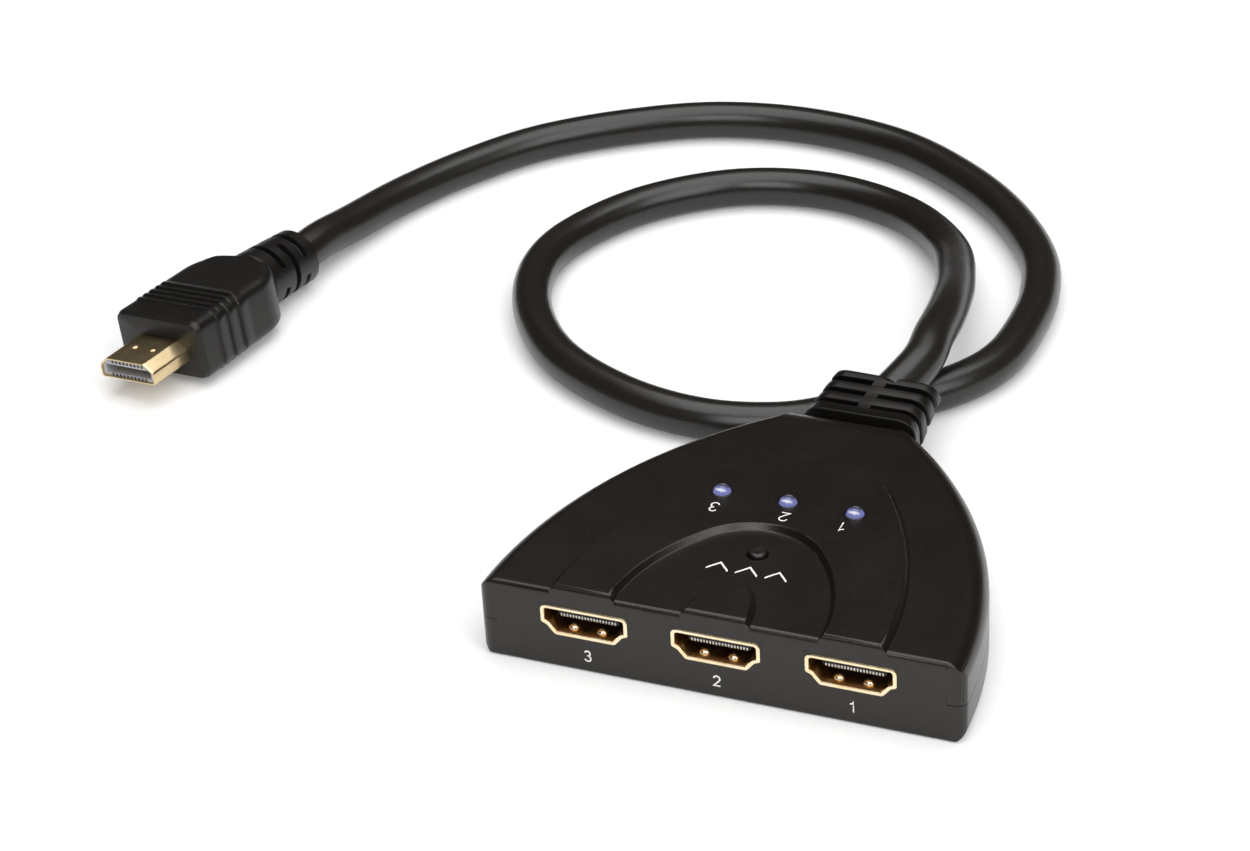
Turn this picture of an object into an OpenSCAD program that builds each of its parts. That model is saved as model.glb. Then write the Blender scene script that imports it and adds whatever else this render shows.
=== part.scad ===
// Three-input video switch with push-button selection and a captive output cable.
// Millimetres, +Z up. Origin at the middle of the case's base, sockets toward -Y, cable toward +Y.

/* [Case] */
// Width of the case across the socket face
case_w = 86.8; // [80:0.2:96]
// Length of the case from the socket face to the cable end
case_len = 72; // [70:0.5:73]
// Width of the case at the cable end
end_w = 17; // [16:0.1:20]
// Height of the lower top level
case_h = 15.6; // [15:0.1:17]
// Height of the raised bands above the lower level
raise = 1.1; // [0.6:0.1:1.5]
// Thickness of the side walls
wall = 1.8; // [1.4:0.1:2.2]
// Thickness of the roof
roof_t = 1.6; // [1.2:0.1:2]
// Thickness of the floor
floor_t = 1.8; // [1.4:0.1:2]
// Rounding of the top edge
edge_r = 0.9; // [0.5:0.1:1.2]
// Rounding of the upper rim along the bowed sides
side_edge_r = 3.6; // [2:0.1:4]
// Rounding of the lower rim along the bowed sides
side_base_r = 3; // [1.4:0.1:3.4]
// Rounding of the bottom edge
base_r = 0.6; // [0.4:0.1:1.6]
// Rounding of the two upright front corners
corner_r = 2; // [1:0.1:2.5]
// Radius of the crown that falls toward the cable end
crown_r = 8.6; // [8.2:0.2:12]
// Length of that crown
crown_len = 7.6; // [6:0.2:8]
// Height of the joint between the covers along the sides
split_z = 7.4; // [7:0.1:7.8]
// Width of the visible line between the covers
seam = 0.12; // [0.05:0.01:0.2]
// Gap in the joint beside and above the socket face
front_seam = 0.04; // [0.02:0.01:0.1]
// Height of the locating lip inside the joint
lip_h = 1.2; // [0.8:0.1:1.6]
// Distance from each front corner to where the joint steps up
joint_step_in = 3.2; // [2.5:0.1:4]

/* [Top relief] */
// Width of the outer arch at the socket face
outer_arch_w = 60; // [56:0.5:64]
// Distance from the socket face to the crown of the outer arch
outer_arch_len = 54; // [50:0.5:56]
// Radius at the crown of the outer arch
outer_arch_r = 20; // [16:0.5:24]
// Width of the inner arch at the socket face
inner_arch_w = 36.4; // [34:0.2:40]
// Distance from the socket face to the crown of the inner arch
inner_arch_len = 30.3; // [28:0.1:32]
// Radius at the crown of the inner arch
inner_arch_r = 12; // [10:0.5:14]
// Width of the small middle arch at the socket face
middle_arch_w = 12.4; // [11:0.2:14]
// Distance from the socket face to the crown of the middle arch
middle_arch_len = 11.3; // [10:0.1:13]
// Radius at the crown of the middle arch
middle_arch_r = 4.6; // [3.5:0.1:5]
// Width of the sloping step beside each band
step_slope = 1.1; // [0.6:0.1:1.6]

/* [Sockets] */
// Distance from each side of the socket face to the nearest socket's middle
port_side = 19.6; // [18:0.1:20]
// Height of the socket centres
port_z = 9.7; // [9.4:0.1:10]
// Width of the socket opening
port_w = 14; // [13.9:0.05:14.2]
// Height of the socket opening
port_h = 4.55; // [4.5:0.05:4.7]
// Width of the opening along its narrow bottom
port_narrow_w = 9.6; // [9.2:0.1:10]
// Height of the upright part of the opening's ends
port_side_h = 2.8; // [2.5:0.1:3]
// Thickness of the socket's sheet metal
sheet_t = 0.35; // [0.25:0.05:0.4]
// Width of the flared mouth
mouth_w = 16; // [15.6:0.1:16.4]
// Height of the flared mouth
mouth_h = 5.9; // [5.7:0.1:6.1]
// How far the mouth stands out of the case
mouth_proud = 0.25; // [0.1:0.05:0.4]
// Thickness of the flared mouth
mouth_t = 0.7; // [0.5:0.1:1]
// Length of the socket behind the socket face
port_len = 11.4; // [11:0.1:12]
// Depth from the socket face to the tip of the contact tongue
tongue_tip = 2; // [1.8:0.1:2.4]
// Width of the contact tongue
tongue_w = 11.2; // [10.8:0.1:11.6]
// Thickness of the contact tongue
tongue_t = 1.2; // [1:0.1:1.4]
// Depth of the block that carries the tongue
block_len = 3.6; // [3:0.1:4]

/* [Button and lights] */
// Distance from the socket face to the select button
button_y = 21; // [20:0.1:24]
// Diameter of the select button
button_d = 3.3; // [3:0.1:3.6]
// How far the button stands out of the case
button_proud = 0.8; // [0.6:0.1:1.2]
// Travel of the button
button_travel = 0.25; // [0.15:0.05:0.35]
// Distance from the socket face to the row of lights
led_y = 36.5; // [34:0.5:40]
// Distance between neighbouring lights
led_pitch = 12.3; // [11:0.1:14]
// Diameter of a light
led_d = 3; // [2.8:0.1:3.2]
// How far a light stands out of the raised band
led_proud = 0.7; // [0.4:0.1:1]
// Length of a light's body
led_len = 5.2; // [4.8:0.1:5.6]

/* [Circuit board] */
// Thickness of the board
board_t = 1.2; // [1:0.1:1.6]
// Clearance between the board and the walls
board_gap = 0.5; // [0.3:0.1:1]
// Distance from the socket face to the board's rear edge
board_rear = 60; // [58:0.5:61]
// Shank diameter of a case screw
screw_d = 2.2; // [2:0.1:2.4]
// Head diameter of a case screw
screw_head_d = 4.2; // [4:0.1:4.6]
// Diameter of a screw boss
boss_d = 6; // [5.6:0.1:6.6]

/* [Cable] */
// Diameter of the cable
cable_d = 8; // [7:0.1:8.2]
// Width of the strain relief at the case
boot_w = 21.6; // [20:0.1:22]
// Height of the strain relief at the case
boot_h = 11.5; // [10:0.1:12]
// Width lost toward the strain relief's tip
boot_taper = 2.8; // [1:0.1:3.4]
// Height lost toward the strain relief's tip
boot_fall = 3.9; // [2:0.1:4.2]
// Length of the strain relief outside the case
boot_len = 15.6; // [14:0.2:17]
// Height of the strain relief's middle at the case
boot_z = 7.4; // [7.2:0.1:7.6]
// Number of ribs on the strain relief
boot_ribs = 4; // [3:1:5]
// Width of the grooves between the ribs
groove_w = 1.2; // [0.8:0.1:1.6]
// Depth of the grooves
groove_depth = 1.3; // [0.8:0.1:1.6]
// Width of the spine that bridges the grooves
spine_w = 2.4; // [1.8:0.1:3]
// Sideways bend of the strain relief at its tip, in degrees
boot_yaw = 11; // [8:1:14]
// Upward bend of the strain relief at its tip, in degrees
boot_pitch = 33; // [28:1:36]
// Number of wires inside the case
wire_count = 8; // [6:1:9]
// Diameter of a wire
wire_d = 1.1; // [0.9:0.05:1.2]

/* [Plug] */
// Width of the plug's metal shell
plug_shell_w = 13.9; // [13.8:0.05:13.95]
// Height of the plug's metal shell
plug_shell_h = 4.45; // [4.4:0.05:4.5]
// Length of shell that shows in front of the moulding
plug_shell_len = 10.6; // [10:0.1:12]
// Width of the plug's moulding
plug_w = 20.4; // [19.5:0.1:21.5]
// Height of the plug's moulding
plug_h = 12; // [11:0.1:12.4]
// Length of the plug's moulding without its collar
plug_len = 29.5; // [28:0.5:32]
// Length of the round collar behind the moulding
collar_len = 15; // [13:0.5:17]
// Diameter of the collar where it meets the moulding
collar_d = 12; // [11.5:0.1:12.5]
// Diameter of the collar at the cable
collar_tip_d = 11; // [10:0.1:11.4]
// Sideways heading of the plug, in degrees
plug_yaw = 10.5; // [8:0.5:13]
// Roll of the plug where it lies, in degrees
plug_roll = 6; // [0:0.5:9]

/* [Hidden] */
$fn = 64;

black = "#201f1e";
rubber = "#242322";
gold = "#c9a25a";
dark = "#2a2a2c";
steel = "#b9bcc0";

// Clearance between pieces of the case that fit into each other
fit_gap = 0.15;
// Clearance of a lead in its hole
lead_gap = 0.15;
// Radial clearance of the button in the roof and in its switch
button_gap = 0.25;
// Gap left between faces that meet
touch_gap = 0.02;
// A length that is past every face of the case
far = 120;
// Cuts run this far past a face
past = 1;
// Facets of an arch: along each flank, round its crown and up its step
flank_steps = 6;
crown_steps = 12;
rim_steps = 8;
step_steps = 4;

front = -case_len / 2;
back = case_len / 2;
narrowing = (case_w - end_w) / 2;
side_r = (case_len * case_len + narrowing * narrowing) / (2 * narrowing);
side_x = side_r - case_w / 2;
high_h = case_h + raise;
crown_y = back - crown_len;
port_pitch = case_w / 2 - port_side;
board_top = port_z - port_h / 2 - sheet_t;
board_z = board_top - board_t;
joint_step_x = case_w / 2 - joint_step_in;
front_joint_z = case_h - edge_r;

// Half the case's width at a distance from the socket face
function half_w(d) = sqrt(side_r * side_r - d * d) - side_x;
function port_x(n) = (2 - n) * port_pitch;
function led_x(n) = (2 - n) * led_pitch;

// Points of an arc
function arc(centre, r, a0, a1, steps = 5) =
    [for (i = [0:steps]) centre + r * [cos(a0 + (a1 - a0) * i / steps), sin(a0 + (a1 - a0) * i / steps)]];

// Outline of a rectangle with round corners, centred
function round_rect(w, h, r) = concat(
    arc([w / 2 - r, h / 2 - r], r, 0, 90),
    arc([r - w / 2, h / 2 - r], r, 90, 180),
    arc([r - w / 2, r - h / 2], r, 180, 270),
    arc([w / 2 - r, r - h / 2], r, 270, 360));

// Outline of a video connector: square ends above, slanting to a narrow bottom, centred
function connector_outline(w, h, narrow, side) = [
    [w / 2, h / 2], [-w / 2, h / 2], [-w / 2, h / 2 - side],
    [-narrow / 2, -h / 2], [narrow / 2, -h / 2], [w / 2, h / 2 - side]];

// Extrusion along +Y of an outline drawn in X and Z
module along_y(len) {
    translate([0, len, 0])
        rotate([90, 0, 0])
            linear_extrude(height = len)
                children();
}

// Extrusion along X, on both sides of the middle, of an outline drawn in Y and Z
module across_x(len) {
    translate([-len / 2, 0, 0])
        rotate([90, 0, 90])
            linear_extrude(height = len)
                children();
}

module box(low, high) {
    translate(low)
        cube(high - low);
}

// Case

// Disc with rounded rims whose edge is one bowed side of the case
module side_disc(side, h) {
    rim = concat(
        [[0, 0]],
        arc([side_r - side_base_r, side_base_r], side_base_r, -90, 0, rim_steps),
        arc([side_r - side_edge_r, h - side_edge_r], side_edge_r, 0, 90, rim_steps),
        [[0, h]]);
    translate([side * side_x, front, 0])
        rotate_extrude($fn = 180)
            polygon(rim);
}

// Arc of the crown, from the end wall up to the flat top
function crown_arc(y_end, drop) =
    let (r = crown_r - drop)
    arc([crown_y, case_h - crown_r], r, 90 - asin((y_end - crown_y) / r), 90, crown_steps);

// The case's outside with a flat top at height h
module case_form(h) {
    lengthwise = concat(
        arc([front + base_r, base_r], base_r, 180, 270),
        arc([back - base_r, base_r], base_r, 270, 360),
        h == case_h ? crown_arc(back, 0) : [[back, h]],
        arc([front + edge_r, h - edge_r], edge_r, 90, 180));
    plan = concat(
        arc([corner_r - case_w / 2, front + corner_r], corner_r, 180, 270),
        arc([case_w / 2 - corner_r, front + corner_r], corner_r, 270, 360),
        [[case_w / 2, back], [-case_w / 2, back]]);
    intersection() {
        side_disc(-1, h);
        side_disc(1, h);
        across_x(case_w)
            polygon(lengthwise);
        linear_extrude(height = h)
            polygon(plan);
    }
}

// Plan of the case drawn in from its outside, between two heights
module case_plan(inset, z0, z1) {
    intersection() {
        side_column(inset, z0, z1, -1);
        side_column(inset, z0, z1, 1);
        box([-case_w, front + inset, z0], [case_w, back - inset, z1]);
    }
}

// Upright column whose edge is one bowed side of the case, drawn in by inset
module side_column(inset, z0, z1, side) {
    translate([side * side_x, front, z0])
        cylinder(r = side_r - inset, h = z1 - z0, $fn = 180);
}

// Room inside the case
module cavity() {
    y_end = back - wall;
    lengthwise = concat(
        [[front + wall, floor_t], [y_end, floor_t]],
        crown_arc(y_end, roof_t),
        [[front + wall, case_h - roof_t]]);
    intersection() {
        side_column(wall, 0, case_h, -1);
        side_column(wall, 0, case_h, 1);
        across_x(case_w)
            polygon(lengthwise);
    }
}

// Outline of a round-topped arch that stands on the socket face, moved out by grow
function arch_outline(w, reach, r, grow) =
    let (
        a = w / 2,
        rise = reach - r,
        flank_r = (a * a + rise * rise - r * r) / (2 * (a - r)),
        flank_x = flank_r - a,
        turn = atan2(rise, flank_x),
        start = asin(past / flank_r),
        stop = turn * (1 - 1 / flank_steps))
    concat(
        arc([-flank_x, front], flank_r + grow, -start, stop, flank_steps),
        arc([0, front + rise], r + grow, turn, 180 - turn, crown_steps),
        arc([flank_x, front], flank_r + grow, 180 - stop, 180 + start, flank_steps));

// Arch with soft shoulders: its wall moves by step_slope, out or in, as it rises
module arch(w, reach, r, out) {
    levels = concat(
        [[case_h - edge_r, 0]],
        [for (i = [0:step_steps])
            let (t = i / step_steps)
            [case_h + raise * (1 - cos(180 * t)) / 2, out * step_slope * t]],
        [[high_h + past, out * step_slope]]);
    rings = [for (level = levels) [for (q = arch_outline(w, reach, r, level[1])) [q[0], q[1], level[0]]]];
    n = len(rings[0]);
    last = len(levels) - 1;
    skin = [for (j = [0:last - 1], i = [0:n - 1])
        let (p = j * n + i, q = j * n + (i + 1) % n)
        each [[p, p + n, q], [q, p + n, q + n]]];
    base = [for (i = [0:n - 1]) i];
    roof = [for (i = [n - 1:-1:0]) last * n + i];
    polyhedron([for (ring = rings) each ring], concat(skin, [base, roof]));
}

// The raised bands: outer arch less inner arch, and the small middle arch
module bands() {
    difference() {
        arch(outer_arch_w, outer_arch_len, outer_arch_r, -1);
        arch(inner_arch_w, inner_arch_len, inner_arch_r, 1);
    }
    arch(middle_arch_w, middle_arch_len, middle_arch_r, -1);
}

// Everything below the joint line, which steps up at the corners so that the lower cover carries the socket face
module below_joint(lift, front_lift) {
    face_x = joint_step_x + front_lift;
    box([-far, -far, -past], [far, far, split_z + lift]);
    box([-face_x, front - past, 0], [face_x, front + wall, front_joint_z + front_lift]);
}

// Screw places: two beside the sockets, two near the cable end
screw_front = 9;
screw_rear = 50;
screw_front_x = half_w(screw_front) - wall - board_gap - boss_d / 2;
screw_rear_x = half_w(screw_rear) - wall - 2 * board_gap - boss_d;
screw_places = [for (s = [-1, 1]) each [
    [s * screw_front_x, front + screw_front],
    [s * screw_rear_x, front + screw_rear]]];
screw_head_h = 1.5;
screw_sink = 0.4;
screw_grip = 4;
drive_w = 0.5;
drive_depth = 0.7;
screw_top = board_top + screw_grip;

module at_screws() {
    for (p = screw_places)
        translate([p[0], p[1], 0])
            children();
}

// Strip along both sides where the lip stands, clear of the sockets and the strain relief
lip_front = 5.4;
lip_rear = 7.2;

module lip_ring(outer, inner, z0, z1) {
    difference() {
        case_plan(outer, z0, z1);
        case_plan(inner, z0 - past, z1 + past);
        box([-far, -far, z0 - past], [far, front + lip_front, z1 + past]);
        box([-far, back - lip_rear, z0 - past], [far, far, z1 + past]);
    }
}

// Holes in the front wall for the socket mouths
module port_holes() {
    grow = 2 * fit_gap;
    for (n = [1:3])
        translate([port_x(n), front - past, port_z])
            along_y(wall + 2 * past)
                polygon(mouth_outline(grow));
}

// Hole in the end wall for the strain relief's waist
module boot_hole() {
    translate([0, back - wall - past, boot_z])
        along_y(wall + 2 * past)
            polygon(round_rect(waist_w + 2 * fit_gap, waist_h + 2 * fit_gap, waist_r + fit_gap));
}

module top_cover() {
    color(black)
    difference() {
        union() {
            difference() {
                union() {
                    case_form(case_h);
                    intersection() {
                        case_form(high_h);
                        bands();
                    }
                }
                cavity();
            }
            at_screws()
                boss(board_top, case_h - roof_t + past / 2);
        }
        below_joint(seam, front_seam);
        lip_rebate();
        at_screws()
            translate([0, 0, board_top - past])
                cylinder(d = screw_d + fit_gap, h = screw_grip + 2 * past);
        boot_hole();
        translate([0, front + button_y, case_h - roof_t - past])
            cylinder(d = button_d + 2 * button_gap, h = roof_t + raise + 2 * past);
        for (n = [1:3])
            translate([led_x(n), front + led_y, case_h - roof_t - past])
                cylinder(d = led_d + 2 * fit_gap, h = roof_t + raise + 2 * past);
    }
}

// Round boss between two heights
module boss(z0, z1) {
    translate([0, 0, z0])
        cylinder(d = boss_d, h = z1 - z0);
}

// Rebate in the upper wall that takes the lip
module lip_rebate() {
    lip_ring(wall / 2, wall + past, split_z - past, split_z + lip_h + fit_gap);
}

module bottom_cover() {
    color(black)
    difference() {
        union() {
            difference() {
                intersection() {
                    case_form(case_h);
                    below_joint(0, 0);
                }
                cavity();
            }
            lip_ring(wall / 2 + fit_gap, wall, split_z - lip_h, split_z + lip_h);
            at_screws()
                boss(floor_t - past / 2, board_z);
        }
        at_screws() {
            translate([0, 0, -past])
                cylinder(d = screw_d + 2 * fit_gap, h = case_h);
            translate([0, 0, -past])
                cylinder(d = screw_head_d + 2 * fit_gap, h = past + screw_sink + screw_head_h);
        }
        port_holes();
        boot_hole();
    }
}

module case_screws() {
    color(steel)
    at_screws() {
        translate([0, 0, screw_sink])
            difference() {
                cylinder(d = screw_head_d, h = screw_head_h);
                for (turn = [0, 90])
                    rotate([0, 0, turn])
                        box([-screw_d / 2, -drive_w / 2, -past], [screw_d / 2, drive_w / 2, drive_depth]);
            }
        translate([0, 0, screw_sink + screw_head_h])
            cylinder(d = screw_d, h = screw_top - screw_sink - screw_head_h);
    }
}

// Circuit board

switch_w = 6;
switch_pin = [0.7, 0.3];
switch_pin_x = switch_w / 2 + switch_pin[1] / 2;
switch_pin_y = 2.25;
led_pin = 0.5;
led_pin_x = 1.27;
pin_below = 1.2;
port_leg_t = 0.4;
port_leg_w = 1.4;
port_leg_y = [4, 9];
port_leg_x = port_w / 2 + sheet_t - port_leg_t / 2;
board_front = wall + 2 * board_gap;

module at_button() {
    translate([0, front + button_y, board_top])
        children();
}

module at_switch_pins() {
    at_button()
        for (sx = [-1, 1], sy = [-1, 1])
            translate([sx * switch_pin_x, sy * switch_pin_y, 0])
                children();
}

module at_led_pins() {
    for (n = [1:3], s = [-1, 1])
        translate([led_x(n) + s * led_pin_x, front + led_y, board_top])
            children();
}

module at_port(n) {
    translate([port_x(n), front, port_z])
        children();
}

module at_port_legs(n) {
    at_port(n)
        for (s = [-1, 1], y = port_leg_y)
            translate([s * port_leg_x, y, 0])
                children();
}

// Upright bar centred on X and Y
module bar(w, d, z0, z1) {
    box([-w / 2, -d / 2, z0], [w / 2, d / 2, z1]);
}

module circuit_board() {
    below = -board_t - past;
    color("#1d5a35")
    difference() {
        intersection() {
            side_column(wall + board_gap, board_z, board_top, -1);
            side_column(wall + board_gap, board_z, board_top, 1);
            box([-far, front + board_front, board_z], [far, front + board_rear, board_top]);
        }
        at_screws()
            translate([0, 0, board_z - past])
                cylinder(d = screw_d + 2 * fit_gap, h = board_t + 2 * past);
        at_switch_pins()
            bar(switch_pin[1] + 2 * lead_gap, switch_pin[0] + 2 * lead_gap, below, past);
        at_led_pins()
            bar(led_pin + 2 * lead_gap, led_pin + 2 * lead_gap, below, past);
        for (n = [1:3])
            at_port_legs(n)
                bar(port_leg_t + 2 * lead_gap, port_leg_w + 2 * lead_gap,
                    board_z - port_z - past, board_top - port_z + past);
    }
}

// Sockets, drawn with the middle of the mouth at the origin and the inside toward +Y

contact_pitch = 1;
contact_w = 0.4;
contact_t = 0.12;
contact_start = 0.4;
foot_len = 1.1;
tongue_z = 0.35;
row_counts = [10, 9];

function opening_outline(inset) = connector_outline(
    port_w - 2 * inset, port_h - 2 * inset, port_narrow_w - 2 * inset, port_side_h - inset);
function sheet_outline() = connector_outline(
    port_w + 2 * sheet_t, port_h + 2 * sheet_t, port_narrow_w + 2 * sheet_t, port_side_h + sheet_t);
function mouth_outline(grow) = connector_outline(
    mouth_w + grow, mouth_h + grow, port_narrow_w + mouth_w - port_w + grow,
    port_side_h + (mouth_h - port_h) / 2 + grow / 2);

module port_shell(n) {
    dimple_x = 3.2;
    dimple_y = 2.7;
    dimple_d = 1.7;
    dimple_rise = 0.3;
    color(gold)
    at_port(n) {
        difference() {
            union() {
                translate([0, -mouth_proud, 0])
                    along_y(mouth_t)
                        polygon(mouth_outline(0));
                along_y(port_len)
                    polygon(sheet_outline());
            }
            translate([0, -past, 0])
                along_y(port_len + 2 * past)
                    polygon(opening_outline(0));
        }
        for (s = [-1, 1])
            translate([s * dimple_x, dimple_y, -port_h / 2 - sheet_t / 2])
                cylinder(d1 = dimple_d, d2 = dimple_d / 2, h = sheet_t / 2 + dimple_rise);
    }
    color(gold)
    at_port_legs(n)
        bar(port_leg_t, port_leg_w, board_z - port_z - pin_below, port_h / 2 - port_side_h);
}

// Contact strips: the upper row has ten, the lower row nine, each bent down to the board behind the block
module contact_rows(with_feet) {
    for (row = [0, 1]) {
        count = row_counts[row];
        top = tongue_z + (row == 0 ? tongue_t / 2 : -tongue_t / 2 - contact_t);
        drop_y = port_len + (row == 0 ? foot_len : 0);
        for (i = [0:count - 1])
            translate([(i - (count - 1) / 2) * contact_pitch, 0, 0]) {
                box([-contact_w / 2, tongue_tip + contact_start, top],
                    [contact_w / 2, drop_y + contact_t, top + contact_t]);
                if (with_feet) {
                    box([-contact_w / 2, drop_y, board_top - port_z],
                        [contact_w / 2, drop_y + contact_t, top + contact_t]);
                    box([-contact_w / 2, drop_y, board_top - port_z],
                        [contact_w / 2, drop_y + foot_len - 2 * contact_t, board_top - port_z + contact_t]);
                }
            }
    }
}

module port_insulator(n) {
    color(dark)
    at_port(n)
        difference() {
            union() {
                translate([0, port_len - block_len, 0])
                    along_y(block_len)
                        polygon(opening_outline(fit_gap / 3));
                box([-tongue_w / 2, tongue_tip, tongue_z - tongue_t / 2],
                    [tongue_w / 2, port_len - block_len / 2, tongue_z + tongue_t / 2]);
            }
            contact_rows(false);
        }
}

module port_contacts(n) {
    color(gold)
    at_port(n)
        contact_rows(true);
}

// Select button and its switch, drawn from the board's top

switch_h = 3.2;
switch_floor = 1.3;
switch_bore_d = 5;
switch_plate_t = 0.3;
dome_d = 4.6;
dome_h = 0.55;
dome_t = 0.15;
button_slack = 0.05;
collar_gap = button_travel + button_slack;
collar_h = 0.75;
button_collar_d = 4.4;
button_tip_r = 0.6;

module select_button() {
    low = switch_floor + dome_h + dome_t + collar_gap;
    top = case_h + button_proud - board_top;
    r = button_d / 2;
    collar_r = button_collar_d / 2;
    color(dark)
    at_button()
        rotate_extrude()
            polygon(concat(
                [[0, low], [collar_r, low], [collar_r, low + collar_h], [r, low + collar_h]],
                arc([r - button_tip_r, top - button_tip_r], button_tip_r, 0, 90),
                [[0, top]]));
}

module switch_base() {
    color(dark)
    at_button()
        difference() {
            bar(switch_w, switch_w, 0, switch_h);
            translate([0, 0, switch_floor])
                cylinder(d = switch_bore_d, h = switch_h);
        }
}

module switch_frame() {
    tab_w = 3;
    tab_low = 0.8;
    y0 = switch_w / 2;
    color(steel)
    at_button()
        difference() {
            union() {
                bar(switch_w, switch_w + 2 * switch_plate_t, switch_h, switch_h + switch_plate_t);
                for (s = [0, 180])
                    rotate([0, 0, s])
                        box([-tab_w / 2, y0, tab_low],
                            [tab_w / 2, y0 + switch_plate_t, switch_h + switch_plate_t]);
            }
            translate([0, 0, switch_h - past])
                cylinder(d = button_d + 2 * button_gap, h = 3 * past);
        }
}

module switch_dome() {
    dome_r = (dome_d * dome_d / 4 + dome_h * dome_h) / (2 * dome_h);
    half = asin(dome_d / 2 / dome_r);
    color(steel)
    at_button()
        translate([0, 0, switch_floor - (dome_r - dome_t) * cos(half)])
            rotate_extrude()
                polygon(concat(
                    arc([0, 0], dome_r, 90, 90 - half),
                    arc([0, 0], dome_r - dome_t, 90 - half, 90)));
}

module switch_terminals() {
    color(steel)
    at_switch_pins()
        bar(switch_pin[1], switch_pin[0], -board_t - pin_below, switch_floor);
}

// Lights

led_base = high_h + led_proud - led_len;
led_rim_w = 0.35;
led_rim_h = 0.9;

module led(n) {
    r = led_d / 2;
    color("#dfe8ff")
    translate([led_x(n), front + led_y, led_base])
        rotate_extrude()
            polygon(concat(
                [[0, 0], [r + led_rim_w, 0], [r + led_rim_w, led_rim_h], [r, led_rim_h]],
                arc([0, led_len - r], r, 0, 90)));
}

module led_leads() {
    color(steel)
    at_led_pins()
        bar(led_pin, led_pin, -board_t - pin_below, led_base - board_top);
}

// Parts soldered to the board

chip_w = 10;
chip_h = 1.3;
chip_lift = 0.1;
chip_at = [-15.5, 26];
chip_pitch = 0.8;
chip_side_pins = 11;
chip_pin_w = 0.3;
chip_pin_t = 0.15;
chip_pin_len = 1;
regulator_size = [6.5, 3.5, 1.6];
regulator_at = [14.5, 24];
regulator_pitch = 2.3;
capacitor_size = [2, 1.25, 0.9];
resistor_size = [1.6, 0.8, 0.45];

module on_board(p) {
    translate([p[0], front + p[1], board_top])
        children();
}

module switch_chip() {
    color(dark)
    on_board(chip_at)
        bar(chip_w, chip_w, chip_lift, chip_lift + chip_h);
}

// One bent lead that leaves a flat side at y = 0 and stands on the board
module chip_pin() {
    shoulder = chip_lift + chip_h / 2;
    bar_w = chip_pin_w / 2;
    mid = chip_pin_len / 2;
    box([-bar_w, 0, shoulder - chip_pin_t], [bar_w, mid, shoulder]);
    box([-bar_w, mid - chip_pin_t, 0], [bar_w, mid, shoulder]);
    box([-bar_w, mid - chip_pin_t, 0], [bar_w, chip_pin_len, chip_pin_t]);
}

module chip_leads() {
    color(steel) {
        on_board(chip_at)
            for (turn = [0:90:270], i = [0:chip_side_pins - 1])
                rotate([0, 0, turn])
                    translate([(i - (chip_side_pins - 1) / 2) * chip_pitch, chip_w / 2, 0])
                        chip_pin();
        on_board(regulator_at)
            for (turn = [0, 180], i = [-1:1])
                rotate([0, 0, turn])
                    translate([i * regulator_pitch, regulator_size[1] / 2, 0])
                        chip_pin();
    }
}

module regulator() {
    color(dark)
    on_board(regulator_at)
        bar(regulator_size[0], regulator_size[1], chip_lift, regulator_size[2]);
}

// One row across the board and one column beside the chip
module capacitors() {
    row_y = 46;
    row_pitch = 4.2;
    column_x = chip_at[0] - chip_w / 2 - chip_pin_len - capacitor_size[0] - board_gap;
    column_pitch = 2.6;
    color("#b08d62") {
        for (i = [-2:2])
            on_board([i * row_pitch, row_y])
                bar(capacitor_size[0], capacitor_size[1], 0, capacitor_size[2]);
        for (i = [-1.5:1.5])
            on_board([column_x, chip_at[1] + i * column_pitch])
                bar(capacitor_size[0], capacitor_size[1], 0, capacitor_size[2]);
    }
}

// A row of four behind each socket
module resistors() {
    row_pitch = 2.4;
    row_gap = 0.8;
    row_y = port_len + 2 * foot_len + row_gap + resistor_size[0] / 2;
    color(dark)
    for (n = [1:3], i = [-1.5:1.5])
        on_board([port_x(n) + i * row_pitch, row_y])
            bar(resistor_size[1], resistor_size[0], 0, resistor_size[2]);
}

// Cable, strain relief and plug

waist_w = 12.4;
waist_cover = 0.6;
end_top_z = case_h - crown_r + sqrt(crown_r * crown_r - crown_len * crown_len);
waist_h = 2 * (end_top_z - boot_z - waist_cover);
waist_r = 2.4;
flange_w = 15.6;
flange_t = 2.2;
roof_end_z = case_h - crown_r + sqrt(pow(crown_r - roof_t, 2) - pow(crown_len - wall, 2));
flange_h = 2 * (roof_end_z - boot_z - 2 * fit_gap);
boot_gap = 0.3;
boot_corner_r = 3.2;
boot_inner_y = back - wall - fit_gap - flange_t;

// Place along the strain relief's bent middle line, with s from 0 at the case to 1 at its tip
function boot_place(s) = [
    boot_len * s * sin(boot_yaw * s / 2),
    back + boot_gap + boot_len * s * cos(boot_yaw * s / 2) * cos(boot_pitch * s / 2),
    boot_z + boot_len * s * sin(boot_pitch * s / 2)];
function boot_heading(s) = [
    sin(boot_yaw * s) * cos(boot_pitch * s), cos(boot_yaw * s) * cos(boot_pitch * s), sin(boot_pitch * s)];

module at_boot(s) {
    translate(boot_place(s))
        rotate([boot_pitch * s, 0, -boot_yaw * s])
            children();
}

// Slice of the strain relief, centred on its place
module boot_slice(s, len, inset) {
    w = boot_w - boot_taper * s - 2 * inset;
    h = boot_h - boot_fall * s - 2 * inset;
    at_boot(s)
        translate([0, -len / 2, 0])
            along_y(len)
                polygon(round_rect(w, h, boot_corner_r - inset));
}

rib_pitch = boot_len / boot_ribs;
rib_len = rib_pitch - groove_w;
last_rib = (boot_ribs - 0.5) / boot_ribs;
boot_end = boot_place(last_rib) + boot_heading(last_rib) * (rib_len / 2 + touch_gap);

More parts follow.
